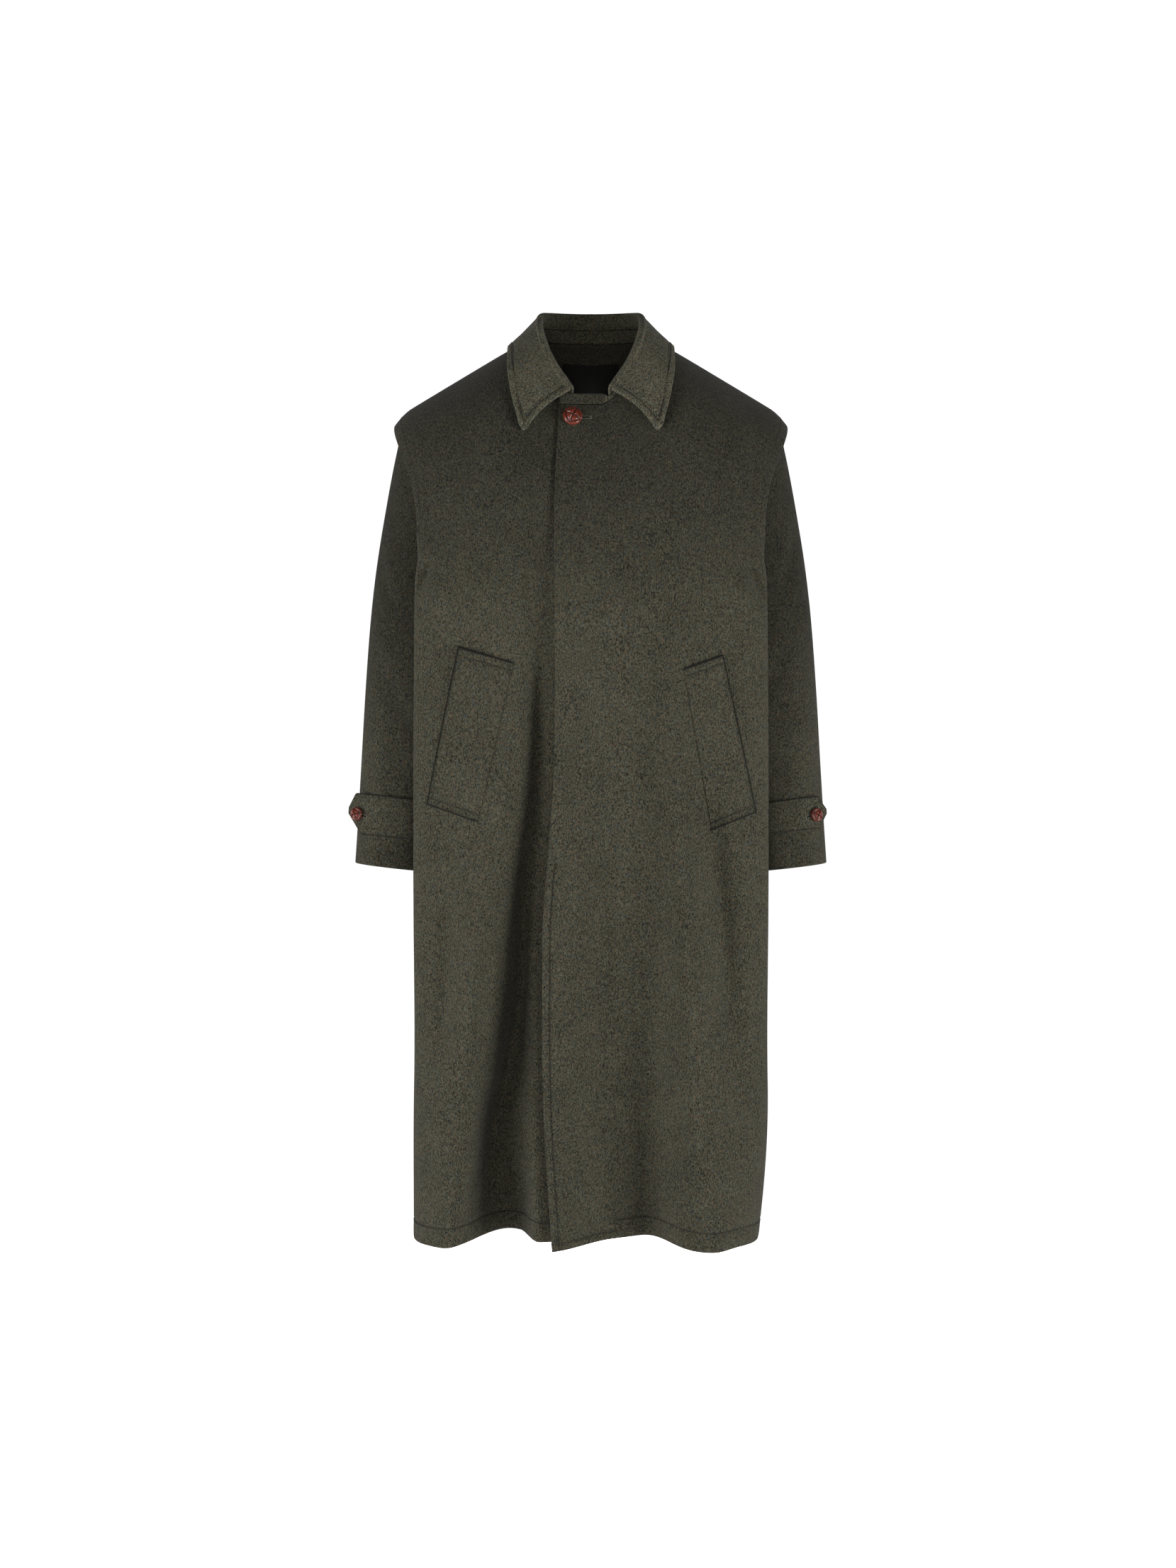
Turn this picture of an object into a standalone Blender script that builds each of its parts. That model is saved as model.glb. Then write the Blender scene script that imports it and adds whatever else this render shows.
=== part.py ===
"""A long fulled-wool coat with wing shoulders, filled out and hollow, as it hangs on a wearer.

Metres, +Z up, +X to the wearer's left, the front faces -Y. The origin is midway between the
shoulders, where the wearer carries the coat. Every panel is an open sheet of points worked out
from the tables below, given its wall by Solidify.
"""

import math

import bpy
import numpy as np

# Driving dimensions
CLOTH = 0.0025  # wall of the fulled wool
SEAM = 0.0016  # between the outer faces of two panels at a seam
CLEAR = 0.0004  # between a piece and the panel that it lies on
HEM_Z = -1.165
ARMPIT_Z = -0.315
CHEST_Z = -0.240  # where the rows start to climb over the shoulder
FRONT_CORNER_X = -0.041  # the left front's corner at the neck, past the centre line
FRONT_UNDERLAP = 0.036  # how far the right front passes the centre line, underneath
BOXINESS = 3.0  # exponent of the body's plan outline
CORNER_SHARE = 0.9015  # wing edge over the plan outline's half width
CORNER_DEPTH = 0.644  # depth at the wing edge over the full depth
GROOVE_REACH = 0.070  # half depth of the hollow where the sleeve lies against the side
GROOVE_START = 0.045  # height over which the hollow deepens below the chest
HEM_SWING = 0.013  # how far the wearer's left side swings in at the hem
SWING_TOP_Z = -0.96
SWING_START_X, SWING_FULL_X = 0.12, 0.22

NECK_HALF = 0.078
NECK_FLAT = 0.012  # half of the level stretch at the front of the neckline
NECK_FRONT_Z = -0.082
NECK_BACK_Z = 0.026
SHOULDER_SLOPE = 0.593
SHOULDER_X, SHOULDER_Z = 0.133, -0.0116  # a point on the shoulder seam
TIP_X = 0.260
TIP_DROOP = 0.010
TIP_DROOP_START = 0.236

COLLAR_CLOTH = 0.004
STAND_CLOTH = 0.003
STAND_FOOT = 0.0018  # from the neck edge up to the stand
SEAM_HALF = 0.0006  # half of the gap between stand and collar
STAND_SHARE = 0.5  # of the height from neck seam to fold
STAND_TOP_Z = -0.0675  # upper edge of the stand's front end
STAND_LEAN = 0.10  # how far that end leans back, over its height
STAND_STEP = 0.007  # from the collar's end to where the stand reaches that height

WELT_CLOTH = 0.003
STRAP_CLOTH = 0.0032
STRAP_TIP = 0.14  # width of its blunt tip, over the full width
LABEL_CLOTH = 0.0008
LABEL_CLEAR = 0.0026  # it hangs a little off the back's facets
BUTTON_CLEAR = 0.0006
LABEL_WIDTH, LABEL_TOP_Z, LABEL_BOTTOM_Z = 0.080, 0.006, -0.046
COLLAR_BUTTON_RADIUS, CUFF_BUTTON_RADIUS = 0.0126, 0.0088
COLLAR_BUTTON_X, COLLAR_BUTTON_Z = -0.024, -0.099

# Colour and roughness of each material
WOOL = (0.055, 0.053, 0.040), 0.95
LEATHER = (0.23, 0.045, 0.026), 0.30
LABEL = (0.006, 0.006, 0.006), 0.60

MIRROR = np.array([-1.0, 1.0, 1.0])  # from the wearer's left to the right


def table(columns, *rows):
    """A short table as one array for each named column."""
    return dict(zip(columns.split(), np.array(rows, float).T))


# The body's plan outline by height
BODY = table(
    "z half_width front back groove",
    (-1.165, 0.2335, 0.142, 0.170, 0.000),
    (-0.950, 0.2420, 0.142, 0.160, 0.010),
    (-0.750, 0.2525, 0.140, 0.150, 0.0345),
    (-0.600, 0.2575, 0.138, 0.143, 0.0555),
    (-0.450, 0.2605, 0.136, 0.138, 0.0735),
    (-0.315, 0.2625, 0.134, 0.133, 0.0925),
    (-0.240, 0.2495, 0.132, 0.130, 0.0925),
)

# The wing's free edge, from the armhole up to the shoulder tip
WING = table(
    "z x",
    (-0.240, 0.2249),
    (-0.207, 0.2282),
    (-0.174, 0.2347),
    (-0.131, 0.2510),
    (-0.110, 0.2580),
    (-0.099, 0.2600),
)

# The free edge of the left front, which swings past the centre line towards the hem
LAP_EDGE = table(
    "z x",
    (-1.165, -0.0495),
    (-0.970, -0.0610),
    (-0.770, -0.0620),
    (-0.640, -0.0530),
    (-0.570, -0.0480),
    (-0.240, -0.0470),
)

FACE = {"front_left": "front", "front_right": "front", "back": "back"}

# How far below the shoulder seam each face still rounds back, at the neck and past it
ROUNDING = {"front": (0.40, 0.150), "back": (0.100, 0.160)}
ROUNDING_FADE_X = 0.130

# Hanging folds: place at the top and at the hem, where each starts, how far it lies in, half width
FOLD_COLUMNS = "x_top x_hem z_top depth width_top width_hem"
FOLDS = {
    "front_left": table(
        FOLD_COLUMNS,
        (0.020, 0.035, -0.45, 0.060, 0.050, 0.058),
        (0.060, 0.082, -0.42, 0.041, 0.020, 0.031),
        (0.150, 0.172, -0.60, -0.012, 0.050, 0.046),
        (-0.047, -0.049, -0.60, -0.004, 0.030, 0.030),
    ),
    "front_right": table(
        FOLD_COLUMNS,
        (-0.055, -0.105, -0.34, 0.106, 0.018, 0.056),
        (-0.156, -0.190, -0.55, -0.012, 0.050, 0.040),
    ),
    "back": table(
        FOLD_COLUMNS,
        (-0.070, -0.105, -0.42, 0.050, 0.035, 0.045),
        (0.075, 0.110, -0.46, 0.055, 0.035, 0.045),
        (0.000, 0.004, -0.50, -0.022, 0.040, 0.050),
    ),
}
FOLD_FADE = 0.70, 0.90  # share of the half width where folds die out towards the corner
FOLD_GROWTH = 1.25
HEM_RAISE = 0.11  # how much higher the hem hangs for each metre that a fold lies in

# How far the right front lies under the left one, by height
LAP = table(
    "z drop",
    (-1.165, 0.0450),
    (-1.030, 0.0520),
    (-0.880, 0.0550),
    (-0.740, 0.0470),
    (-0.600, 0.0310),
    (-0.480, 0.0190),
    (-0.380, 0.0105),
    (-0.280, 0.0060),
    (-0.100, 0.0046),
    (0.000, 0.0046),
)
LAP_START, LAP_END = -0.092, -0.066  # from beside the left front's edge to well under it

# The sleeve's outermost and innermost line seen from the front, and its half depth
SLEEVE = table(
    "outer_x outer_z inner_x inner_z half_depth",
    (0.2330, -0.0790, 0.1640, -0.2950, 0.0860),
    (0.2480, -0.1000, 0.1725, -0.3080, 0.0750),
    (0.2585, -0.1400, 0.1760, -0.3250, 0.0690),
    (0.2712, -0.2070, 0.1790, -0.3500, 0.0660),
    (0.2834, -0.2824, 0.1830, -0.3850, 0.0645),
    (0.2919, -0.3576, 0.1880, -0.4250, 0.0630),
    (0.2987, -0.4500, 0.1950, -0.4880, 0.0600),
    (0.3045, -0.5500, 0.2030, -0.5720, 0.0570),
    (0.3090, -0.6250, 0.2090, -0.6390, 0.0560),
    (0.3122, -0.6740, 0.2135, -0.6855, 0.0560),
)
SLEEVE_BOXINESS = 2.4
SLEEVE_CLEAR = 0.0060  # from the body's side, which it lies against
WING_CLEAR = {"front": 0.0005, "back": 0.0014}  # from the wing over it
WING_LEDGE = 0.004  # how far past the wing's edge it still keeps below it
ARMHOLE_CLEAR = 0.014  # above the armhole's lower edge, where it starts to lean out
SLEEVE_BACK = 0.004  # how far behind the shoulder seam the cuff hangs

# Collar sections round the neck: angle from the front, fold's height and lean over the neck seam and its
# radius at the middle of the cloth, the place of the leaf's outer edge, and how far the leaf's line bows up
# along the cloth and out from it
COLLAR = table(
    "angle rise lean roll edge_x edge_y edge_z bow crest",
    (17.0, 0.0125, 0.000, 0.0060, 0.0865, -0.1290, -0.1180, 0.008, 0.003),
    (27.0, 0.0170, -0.008, 0.0060, 0.0950, -0.1250, -0.0990, 0.005, 0.003),
    (50.0, 0.0165, -0.012, 0.0050, 0.1070, -0.0980, -0.0440, 0.000, 0.003),
    (70.0, 0.0215, -0.011, 0.0035, 0.1085, -0.0560, -0.0060, 0.000, 0.0015),
    (90.0, 0.0275, -0.0135, 0.0030, 0.1060, -0.0120, 0.0095, 0.000, 0.000),
    (115.0, 0.0335, -0.009, 0.0030, 0.0980, 0.0440, 0.0085, 0.000, 0.000),
    (135.0, 0.0360, -0.001, 0.0030, 0.0820, 0.0800, 0.0050, 0.000, 0.003),
    (180.0, 0.0380, 0.004, 0.0030, 0.0000, 0.1100, 0.0060, 0.000, 0.003),
)

# Cuff straps: heights of both edges at the sleeve's outer side, length that stands free of the sleeve, length
# of the point along both edges, how far down the width its tip lies, from its tip to the button, and how far
# the inner end climbs over the sleeve's rings as a share of the sleeve
STRAPS = {
    "left": {
        "top_z": -0.5793, "bottom_z": -0.6259, "free": 0.0262, "upper_point": 0.0125, "lower_point": 0.0125,
        "tip_share": 0.50, "button": 0.0176, "climb": 0.005,
    },
    "right": {
        "top_z": -0.5762, "bottom_z": -0.6330, "free": 0.0355, "upper_point": 0.0140, "lower_point": 0.0215,
        "tip_share": 0.425, "button": 0.0148, "climb": 0.007,
    },
}

# Pocket welts: corners as (x, z), the opening edge is the outer one
POCKETS = {
    "pocket_right": table(
        "x z", (-0.1694, -0.3945), (-0.0986, -0.4153), (-0.1442, -0.6189), (-0.2099, -0.5962)
    ),
    "pocket_left": table(
        "x z", (0.1682, -0.4050), (0.1175, -0.4231), (0.1537, -0.6297), (0.2112, -0.6062)
    ),
}


def curve(at, xs, ys):
    """A smooth curve through the points (xs, ys), with xs rising, read at the places given."""
    xs, ys = np.asarray(xs, float), np.asarray(ys, float)
    rise = np.diff(ys) / np.diff(xs)
    slope = np.concatenate([rise[:1], (rise[1:] + rise[:-1]) / 2, rise[-1:]])
    slope[1:-1][rise[1:] * rise[:-1] <= 0] = 0
    at = np.clip(at, xs[0], xs[-1])
    i = np.clip(np.searchsorted(xs, at) - 1, 0, len(xs) - 2)
    span = xs[i + 1] - xs[i]
    t = (at - xs[i]) / span
    start = (1 + 2 * t) * (1 - t) ** 2 * ys[i] + t * (1 - t) ** 2 * span * slope[i]
    end = t * t * (3 - 2 * t) * ys[i + 1] - t * t * (1 - t) * span * slope[i + 1]
    return start + end


def ease(value, low, high):
    """0 at low, 1 at high, smooth between."""
    t = np.clip((value - low) / (high - low), 0, 1)
    return t * t * (3 - 2 * t)


# The body's surface


def shoulder_z(x):
    """Height of the shoulder seam at a distance from the centre line, rounded off across the neck."""
    x = np.where(np.abs(x) < NECK_HALF, (np.square(x) / NECK_HALF + NECK_HALF) / 2, np.abs(x))
    droop = TIP_DROOP * np.maximum((x - TIP_DROOP_START) / (TIP_X - TIP_DROOP_START), 0) ** 2
    return SHOULDER_Z - SHOULDER_SLOPE * (x - SHOULDER_X) - droop


def neck_z(face, x):
    """Height of the neck seam, where x runs from the centre line towards the shoulder."""
    side_z = shoulder_z(NECK_HALF)
    if face == "back":
        return NECK_BACK_Z + (side_z - NECK_BACK_Z) * np.clip(x / NECK_HALF, 0, 1) ** 2
    t = np.clip((x - NECK_FLAT) / (NECK_HALF - NECK_FLAT), 0, 1)
    return NECK_FRONT_Z + (side_z - NECK_FRONT_Z) * (1 - (1 - t**1.5) ** (2 / 3))


def half_width(z):
    wing = curve(z, WING["z"], WING["x"]) / CORNER_SHARE
    return np.where(z > CHEST_Z, wing, curve(z, BODY["z"], BODY["half_width"]))


def rounded(face, x, z):
    """Share of the full depth near the shoulder: 0 on its seam, 1 well below it."""
    at_neck, past_neck = ROUNDING[face]
    reach = past_neck + (at_neck - past_neck) * (1 - ease(np.abs(x), 0, ROUNDING_FADE_X))
    below = np.clip((shoulder_z(x) - z) / reach, 0, 1)
    return np.sqrt(1 - (1 - below) ** 2)


def fold_depth(panel, x, z):
    """How far the hanging folds set the cloth back at a place."""
    folds = FOLDS[panel]
    total = np.zeros(np.broadcast(x, z).shape)
    for i in range(len(folds["depth"])):
        top = folds["z_top"][i]
        t = np.clip((top - z) / (top - HEM_Z), 0, 1)
        middle = folds["x_top"][i] + (folds["x_hem"][i] - folds["x_top"][i]) * t
        width = folds["width_top"][i] + (folds["width_hem"][i] - folds["width_top"][i]) * t
        total = total + folds["depth"][i] * t**FOLD_GROWTH * np.exp(-(((x - middle) / width) ** 2))
    return total


def plain_depth(face, x, z):
    """Depth of the body's outline without folds, at a distance from the centre line."""
    across = np.clip(1 - (np.abs(x) / half_width(z)) ** BOXINESS, 0, 1) ** (1 / BOXINESS)
    return curve(z, BODY["z"], BODY[face]) * across * rounded(face, x, z)


def set_back(panel, x, z):
    """How far a panel lies behind the plain outline: its folds, and the lap of the right front."""
    folded = fold_depth(panel, x, z)
    if panel == "front_right":
        under = fold_depth("front_left", x, z) + curve(z, LAP["z"], LAP["drop"])
        share = ease(x, LAP_START, LAP_END)
        folded = folded * (1 - share) + under * share
    return folded * (1 - ease(np.abs(x) / half_width(z), *FOLD_FADE))


def depth(panel, x, z):
    """Distance of a panel's outer face from the plane of the shoulder seams."""
    return plain_depth(FACE[panel], x, z) - set_back(panel, x, z)


def panel_slopes(panel, x, z):
    """A panel's depth at a place, and how it changes along x and z."""
    step = 0.0005
    d = depth(panel, x, z)
    slope_x = (depth(panel, x + step, z) - depth(panel, x - step, z)) / (2 * step)
    slope_z = (d - depth(panel, x, z - step)) / step
    return d, slope_x, slope_z


def panel_point(panel, x, z, lift=0.0):
    """A place on a panel's outer face, moved out along its normal."""
    way_out = 1.0 if panel == "back" else -1.0
    x, z = np.asarray(x, float), np.asarray(z, float)
    d, slope_x, slope_z = panel_slopes(panel, x, z)
    normal = np.stack([-slope_x, np.full_like(d, way_out), -slope_z], axis=-1)
    normal /= np.linalg.norm(normal, axis=-1, keepdims=True)
    return np.stack([x, way_out * d, z], axis=-1) + normal * lift


def side_x(y, z, face):
    """The body's half width at a depth, with the hollow where the sleeve lies."""
    full = curve(z, BODY["z"], BODY[face])
    across = np.clip(1 - (np.abs(y) / full) ** BOXINESS, 0, 1) ** (1 / BOXINESS)
    groove = curve(z, BODY["z"], BODY["groove"]) * ease(CHEST_Z - z, 0, GROOVE_START)
    return half_width(z) * across - groove * np.exp(-((y / GROOVE_REACH) ** 4))


def swing_in(side, x, z):
    """How far a place moves towards the centre line where the wearer's left side swings in at the hem."""
    fall = np.clip((SWING_TOP_Z - z) / (SWING_TOP_Z - HEM_Z), 0, 1)
    return max(side, 0) * HEM_SWING * fall**2 * ease(x, SWING_START_X, SWING_FULL_X)


# Panels

WRAP_SHARE = 0.82  # of the depth, where the outline turns from the front to the side
OUTLINE_POINTS = 160
SKIRT_ROWS, YOKE_ROWS, WRAP_COLUMNS, SHOULDER_COLUMNS = 16, 9, 6, 9
# The neck edge of each panel: where it starts and ends, and its number of points
NECK_EDGE = {
    "front_left": (FRONT_CORNER_X, NECK_HALF, 9),
    "front_right": (-FRONT_UNDERLAP, NECK_HALF, 9),
    "back": (0.0, NECK_HALF, 6),
}


def armhole_z(share):
    """Height of the armhole's lower edge; share is 1 at the wing's edge and 0 at the side seam."""
    return ARMPIT_Z + (CHEST_Z - ARMPIT_Z) * (1 - np.sqrt(1 - np.clip(share, 0, 1) ** 2))


def inner_edge(panel, z):
    """Where a panel starts at a height, measured towards its own side."""
    if panel == "front_left":
        return float(curve(z, LAP_EDGE["z"], LAP_EDGE["x"]))
    return NECK_EDGE[panel][0]


def level_row(panel, side, z, share):
    """One level of a panel, from its inner edge to the outline's corner, at shares of the way."""
    face = FACE[panel]
    full = curve(z, BODY["z"], BODY[face])
    turn = half_width(z) * (1 - WRAP_SHARE**BOXINESS) ** (1 / BOXINESS)
    across = np.linspace(inner_edge(panel, z), turn, OUTLINE_POINTS)
    along = np.linspace(WRAP_SHARE, CORNER_DEPTH, OUTLINE_POINTS)[1:] * full
    x = np.concatenate([across, side_x(along, z, face)])
    y = np.concatenate([plain_depth(face, across, z), along])
    way = np.concatenate([[0], np.cumsum(np.hypot(np.diff(x), np.diff(y)))])
    x = np.interp(share * way[-1], way, x)
    y = np.interp(share * way[-1], way, y) - set_back(panel, side * x, np.full_like(x, z))
    return x, y


def half_panel(panel, side):
    """Rows of points from the hem up to the neck and shoulder seam; side is +1 on the wearer's left.

    The last columns wrap round to the side seam and stop at the armhole.
    """
    face = FACE[panel]
    way_out = 1.0 if panel == "back" else -1.0
    top_x = np.linspace(*NECK_EDGE[panel])
    top_x = np.concatenate([top_x, np.linspace(NECK_HALF, TIP_X, SHOULDER_COLUMNS + 1)[1:]])
    top_z = np.where(top_x <= NECK_HALF, neck_z(face, top_x), shoulder_z(top_x))
    share = (top_x - top_x[0]) / (top_x[-1] - top_x[0])
    no_cloth = np.full(WRAP_COLUMNS, np.nan)
    wrap = np.linspace(0, 1, WRAP_COLUMNS + 1)[1:]
    edge_z = armhole_z(1 - wrap)
    rows = []
    for t in np.linspace(0, 1, SKIRT_ROWS + 1):
        z = HEM_Z + (CHEST_Z - HEM_Z) * t
        x, y = level_row(panel, side, z, share)
        chest_x = x
        z = z + HEM_RAISE * set_back(panel, side * x, np.full_like(x, z)) * (1 - t) ** 2
        wrap_z = HEM_Z + (edge_z - HEM_Z) * t
        corner = CORNER_DEPTH * curve(wrap_z, BODY["z"], BODY[face])
        wrap_y = corner + (SEAM / 2 - corner) * wrap
        x = np.concatenate([x, side_x(wrap_y, wrap_z, face)])
        y = np.concatenate([y, wrap_y])
        z = np.concatenate([z, wrap_z])
        x = x - swing_in(side, x, z)
        rows.append(np.stack([side * x, way_out * y, z], axis=-1))
    for t in np.linspace(0, 1, YOKE_ROWS + 1)[1:]:
        z = CHEST_Z + (top_z - CHEST_Z) * math.sin(t * math.pi / 2)
        wing_x = curve(z[-1], WING["z"], WING["x"])
        climb = (wing_x - WING["x"][0]) / (TIP_X - WING["x"][0])
        x = chest_x + (top_x - chest_x) * climb
        y = np.maximum(depth(panel, side * x, z), SEAM / 2)
        x, y, z = (np.concatenate([values, no_cloth]) for values in (x, y, z))
        rows.append(np.stack([side * x, way_out * y, z], axis=-1))
    return np.array(rows)


def sheet(name, grid, thickness, wall_side, look, closed=False):
    """An open sheet of quads through a grid of points, where there is cloth, with a wall from Solidify.

    The grid's faces look out; wall_side is -1 for a wall inwards, 1 outwards and 0 to both sides.
    """
    rows, columns = grid.shape[:2]
    cloth = np.isfinite(grid[..., 0])
    number = np.cumsum(cloth.reshape(-1)).reshape(rows, columns) - 1
    faces = []
    for i in range(rows - 1):
        for j in range(columns if closed else columns - 1):
            k = (j + 1) % columns
            corners = (i, j), (i, k), (i + 1, k), (i + 1, j)
            if all(cloth[c] for c in corners):
                faces.append([int(number[c]) for c in corners])
    mesh = bpy.data.meshes.new(name)
    mesh.from_pydata(grid[cloth].tolist(), [], faces)
    mesh.shade_smooth()
    mesh.materials.append(finish(name, *look))
    piece = bpy.data.objects.new(name, mesh)
    coat.objects.link(piece)
    wall = piece.modifiers.new("wall", "SOLIDIFY")
    wall.thickness = thickness
    wall.offset = wall_side
    wall.use_even_offset = True
    wall.use_quality_normals = True
    return piece


def finish(name, colour, roughness):
    """A plain material with the part's colour."""
    material = bpy.data.materials.new(name)
    material.use_nodes = True
    shader = material.node_tree.nodes["Principled BSDF"]
    shader.inputs["Base Color"].default_value = (*colour, 1.0)
    shader.inputs["Roughness"].default_value = roughness
    return material


def make_body():
    """The two fronts and the back, cut to the neck and shoulder seams, with free wing edges."""
    left = half_panel("front_left", 1)
    right = half_panel("front_right", -1)
    back_left = half_panel("back", 1)
    back_right = half_panel("back", -1)
    back = np.concatenate([back_right[:, :0:-1], back_left], axis=1)
    sheet("front_left", left, CLOTH, -1, WOOL)
    sheet("front_right", right[:, ::-1], CLOTH, -1, WOOL)
    sheet("back", back[:, ::-1], CLOTH, -1, WOOL)


# Sleeves

SLEEVE_RINGS, SLEEVE_SIDES = 17, 22


def sleeve_row(t):
    """One row of the sleeve table, read between its lines; t is 0 at the head and 1 at the cuff."""
    place = np.linspace(0, 1, len(SLEEVE["outer_x"]))
    return {name: float(curve(t, place, column)) for name, column in SLEEVE.items()}


def under_panel(panel, x, z, gap):
    """The largest depth that stays under a panel's wall."""
    d, slope_x, slope_z = panel_slopes(panel, x, z)
    return np.maximum(d - (CLOTH + gap) * np.sqrt(1 + slope_x**2 + slope_z**2), 0.0)


def sleeve_point(t, angle):
    """A place on the left sleeve's outer face; angle 0 is outermost, a quarter turn is the front."""
    row = sleeve_row(t)
    c, s = np.cos(angle), np.sin(angle)
    power = 2 / SLEEVE_BOXINESS
    reach, deep = np.sign(c) * np.abs(c) ** power, np.sign(s) * np.abs(s) ** power
    x = (row["outer_x"] + row["inner_x"]) / 2 + reach * (row["outer_x"] - row["inner_x"]) / 2
    z = (row["outer_z"] + row["inner_z"]) / 2 + reach * (row["outer_z"] - row["inner_z"]) / 2
    y = SLEEVE_BACK * t - deep * row["half_depth"]
    for panel, here in (("front_left", y < 0), ("back", y >= 0)):
        under_wing = here & (z > CHEST_Z) & (x < curve(z, WING["z"], WING["x"]) + WING_LEDGE)
        limit = under_panel(panel, x, z, WING_CLEAR[FACE[panel]])
        y = np.where(under_wing, np.sign(y) * np.minimum(np.abs(y), limit), y)
        corner = CORNER_DEPTH * curve(z, BODY["z"], BODY[FACE[panel]])
        beside = side_x(y, z, FACE[panel]) + SLEEVE_CLEAR
        past_edge = here & (z < armhole_z(np.abs(y) / corner) + ARMHOLE_CLEAR)
        x = np.where(past_edge, np.maximum(x, beside), x)
    return np.stack([x, y, z], axis=-1)


def make_sleeves():
    """Two open tubes, sewn to the body under the wings, hanging against its sides."""
    angles = np.linspace(0, 2 * math.pi, SLEEVE_SIDES, endpoint=False)
    left = np.array([sleeve_point(t, angles) for t in np.linspace(0, 1, SLEEVE_RINGS)])
    sheet("sleeve_left", left, CLOTH, -1, WOOL, closed=True)
    sheet("sleeve_right", (left * MIRROR)[:, ::-1], CLOTH, -1, WOOL, closed=True)


# Collar


def neck_point(panel, angle):
    """A place on the neck edge, as if on the left; angle 0 is the front centre, a half turn the back."""
    ground = panel if angle <= math.pi / 2 else "back"
    side = -1 if panel == "front_right" else 1
    edge_x = np.linspace(*NECK_EDGE[ground])
    edge_z = neck_z(FACE[ground], edge_x)
    edge_y = depth(ground, side * edge_x, edge_z) * (1 if ground == "back" else -1)
    x = NECK_HALF * math.sin(angle)
    return np.array([x, np.interp(x, edge_x, edge_y), np.interp(x, edge_x, edge_z)])


def collar_section(panel, degrees):
    """Neck seam, fold, outward way and the table's row of one section on one side, as if on the left."""
    row = {name: float(curve(degrees, COLLAR["angle"], column)) for name, column in COLLAR.items()}
    angle = math.radians(degrees)
    neck = neck_point(panel, angle)
    out = np.array([math.sin(angle), -math.cos(angle), 0.0])
    fold = neck + out * row["lean"] + np.array([0, 0, row["rise"]])
    return neck, fold, out, row


NECK_SECTIONS, BAND_STEPS, ROLL_STEPS, LEAF_STEPS = 19, 2, 4, 5
NECK_SAMPLES = 400  # to find even steps along the neck edge


def collar_line(panel, degrees):
    """One section's points: up the inside, over the fold and down the leaf."""
    neck, fold, out, row = collar_section(panel, degrees)
    seam = STAND_SHARE + SEAM_HALF / np.linalg.norm(fold - neck)
    up = np.array([0, 0, 1.0])
    points = [neck + (fold - neck) * t for t in np.linspace(seam, 1, BAND_STEPS + 1)]
    for turn in np.linspace(0, math.pi, ROLL_STEPS + 1)[1:]:
        points.append(fold + row["roll"] * (out * (1 - math.cos(turn)) + up * math.sin(turn)))
    start = points[-1]
    fall = np.array([row["edge_x"], row["edge_y"], row["edge_z"]]) - start
    across = np.cross(fall, np.cross(up, out))
    across /= np.linalg.norm(across) * np.sign(across @ out)
    along = np.cross(across, fall)
    along /= np.linalg.norm(along) * np.sign(along[2])
    for t in np.linspace(0, 1, LEAF_STEPS + 1)[1:]:
        swell = (across * row["crest"] + along * row["bow"]) * 4 * t * (1 - t)
        points.append(start + fall * t + swell)
    return np.array(points)


def round_the_neck(line, count):
    """Sections from the right front end round the back to the left front end, evenly along the neck."""
    angles = np.linspace(COLLAR["angle"][0], 180, NECK_SAMPLES)
    neck = np.array([neck_point("front_left", math.radians(a)) for a in angles])
    way = np.concatenate([[0], np.cumsum(np.linalg.norm(np.diff(neck, axis=0), axis=1))])
    angles = np.interp(np.linspace(0, way[-1], count), way, angles)
    right = [line("front_right", a) * MIRROR for a in angles[:-1]]
    left = [line("front_left", a) for a in angles]
    return np.array(right + left[::-1])


def stand_line(panel, degrees):
    """One section of the stand, from the neck seam up to the seam under the collar."""
    neck, fold = collar_section(panel, degrees)[:2]
    height = np.linalg.norm(fold - neck)
    foot, seam = STAND_FOOT / height, STAND_SHARE - SEAM_HALF / height
    return np.array([neck + (fold - neck) * t for t in np.linspace(foot, seam, 3)])


def stand_end():
    """The stand's front end, along the left front's neck edge past the collar's end."""
    first_x = NECK_HALF * math.sin(math.radians(COLLAR["angle"][0]))
    columns = []
    for x in np.linspace(first_x - STAND_STEP, FRONT_CORNER_X, 5):
        foot = panel_point("front_left", x, neck_z("front", x))
        rise = np.linspace(STAND_FOOT, STAND_TOP_Z - foot[2], 3)
        columns.append(foot + rise[:, None] * (0, STAND_LEAN, 1))
    return np.array(columns)


def make_collar():
    """The stand, sewn round the neckline, and the turned-down collar on it."""
    sheet("collar", round_the_neck(collar_line, NECK_SECTIONS), COLLAR_CLOTH, 0, WOOL)
    stand = np.concatenate([round_the_neck(stand_line, NECK_SECTIONS), stand_end()])
    sheet("collar_stand", stand, STAND_CLOTH, 0, WOOL)


# What is sewn on the panels

WELT_COLUMNS, WELT_ROWS = 6, 12


def make_pockets():
    """A slanting welt on each front, lying on the panel."""
    for name, corners in POCKETS.items():
        panel = "front_left" if name == "pocket_left" else "front_right"
        u, v = np.meshgrid(np.linspace(0, 1, WELT_COLUMNS + 1), np.linspace(0, 1, WELT_ROWS + 1))
        weights = ((1 - u) * (1 - v), u * (1 - v), u * v, (1 - u) * v)
        x = sum(w * c for w, c in zip(weights, corners["x"]))
        z = sum(w * c for w, c in zip(weights, corners["z"]))
        grid = panel_point(panel, x, z, CLEAR)
        sheet(name, grid[:, ::-1] if panel == "front_right" else grid, WELT_CLOTH, 1, WOOL)


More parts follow.
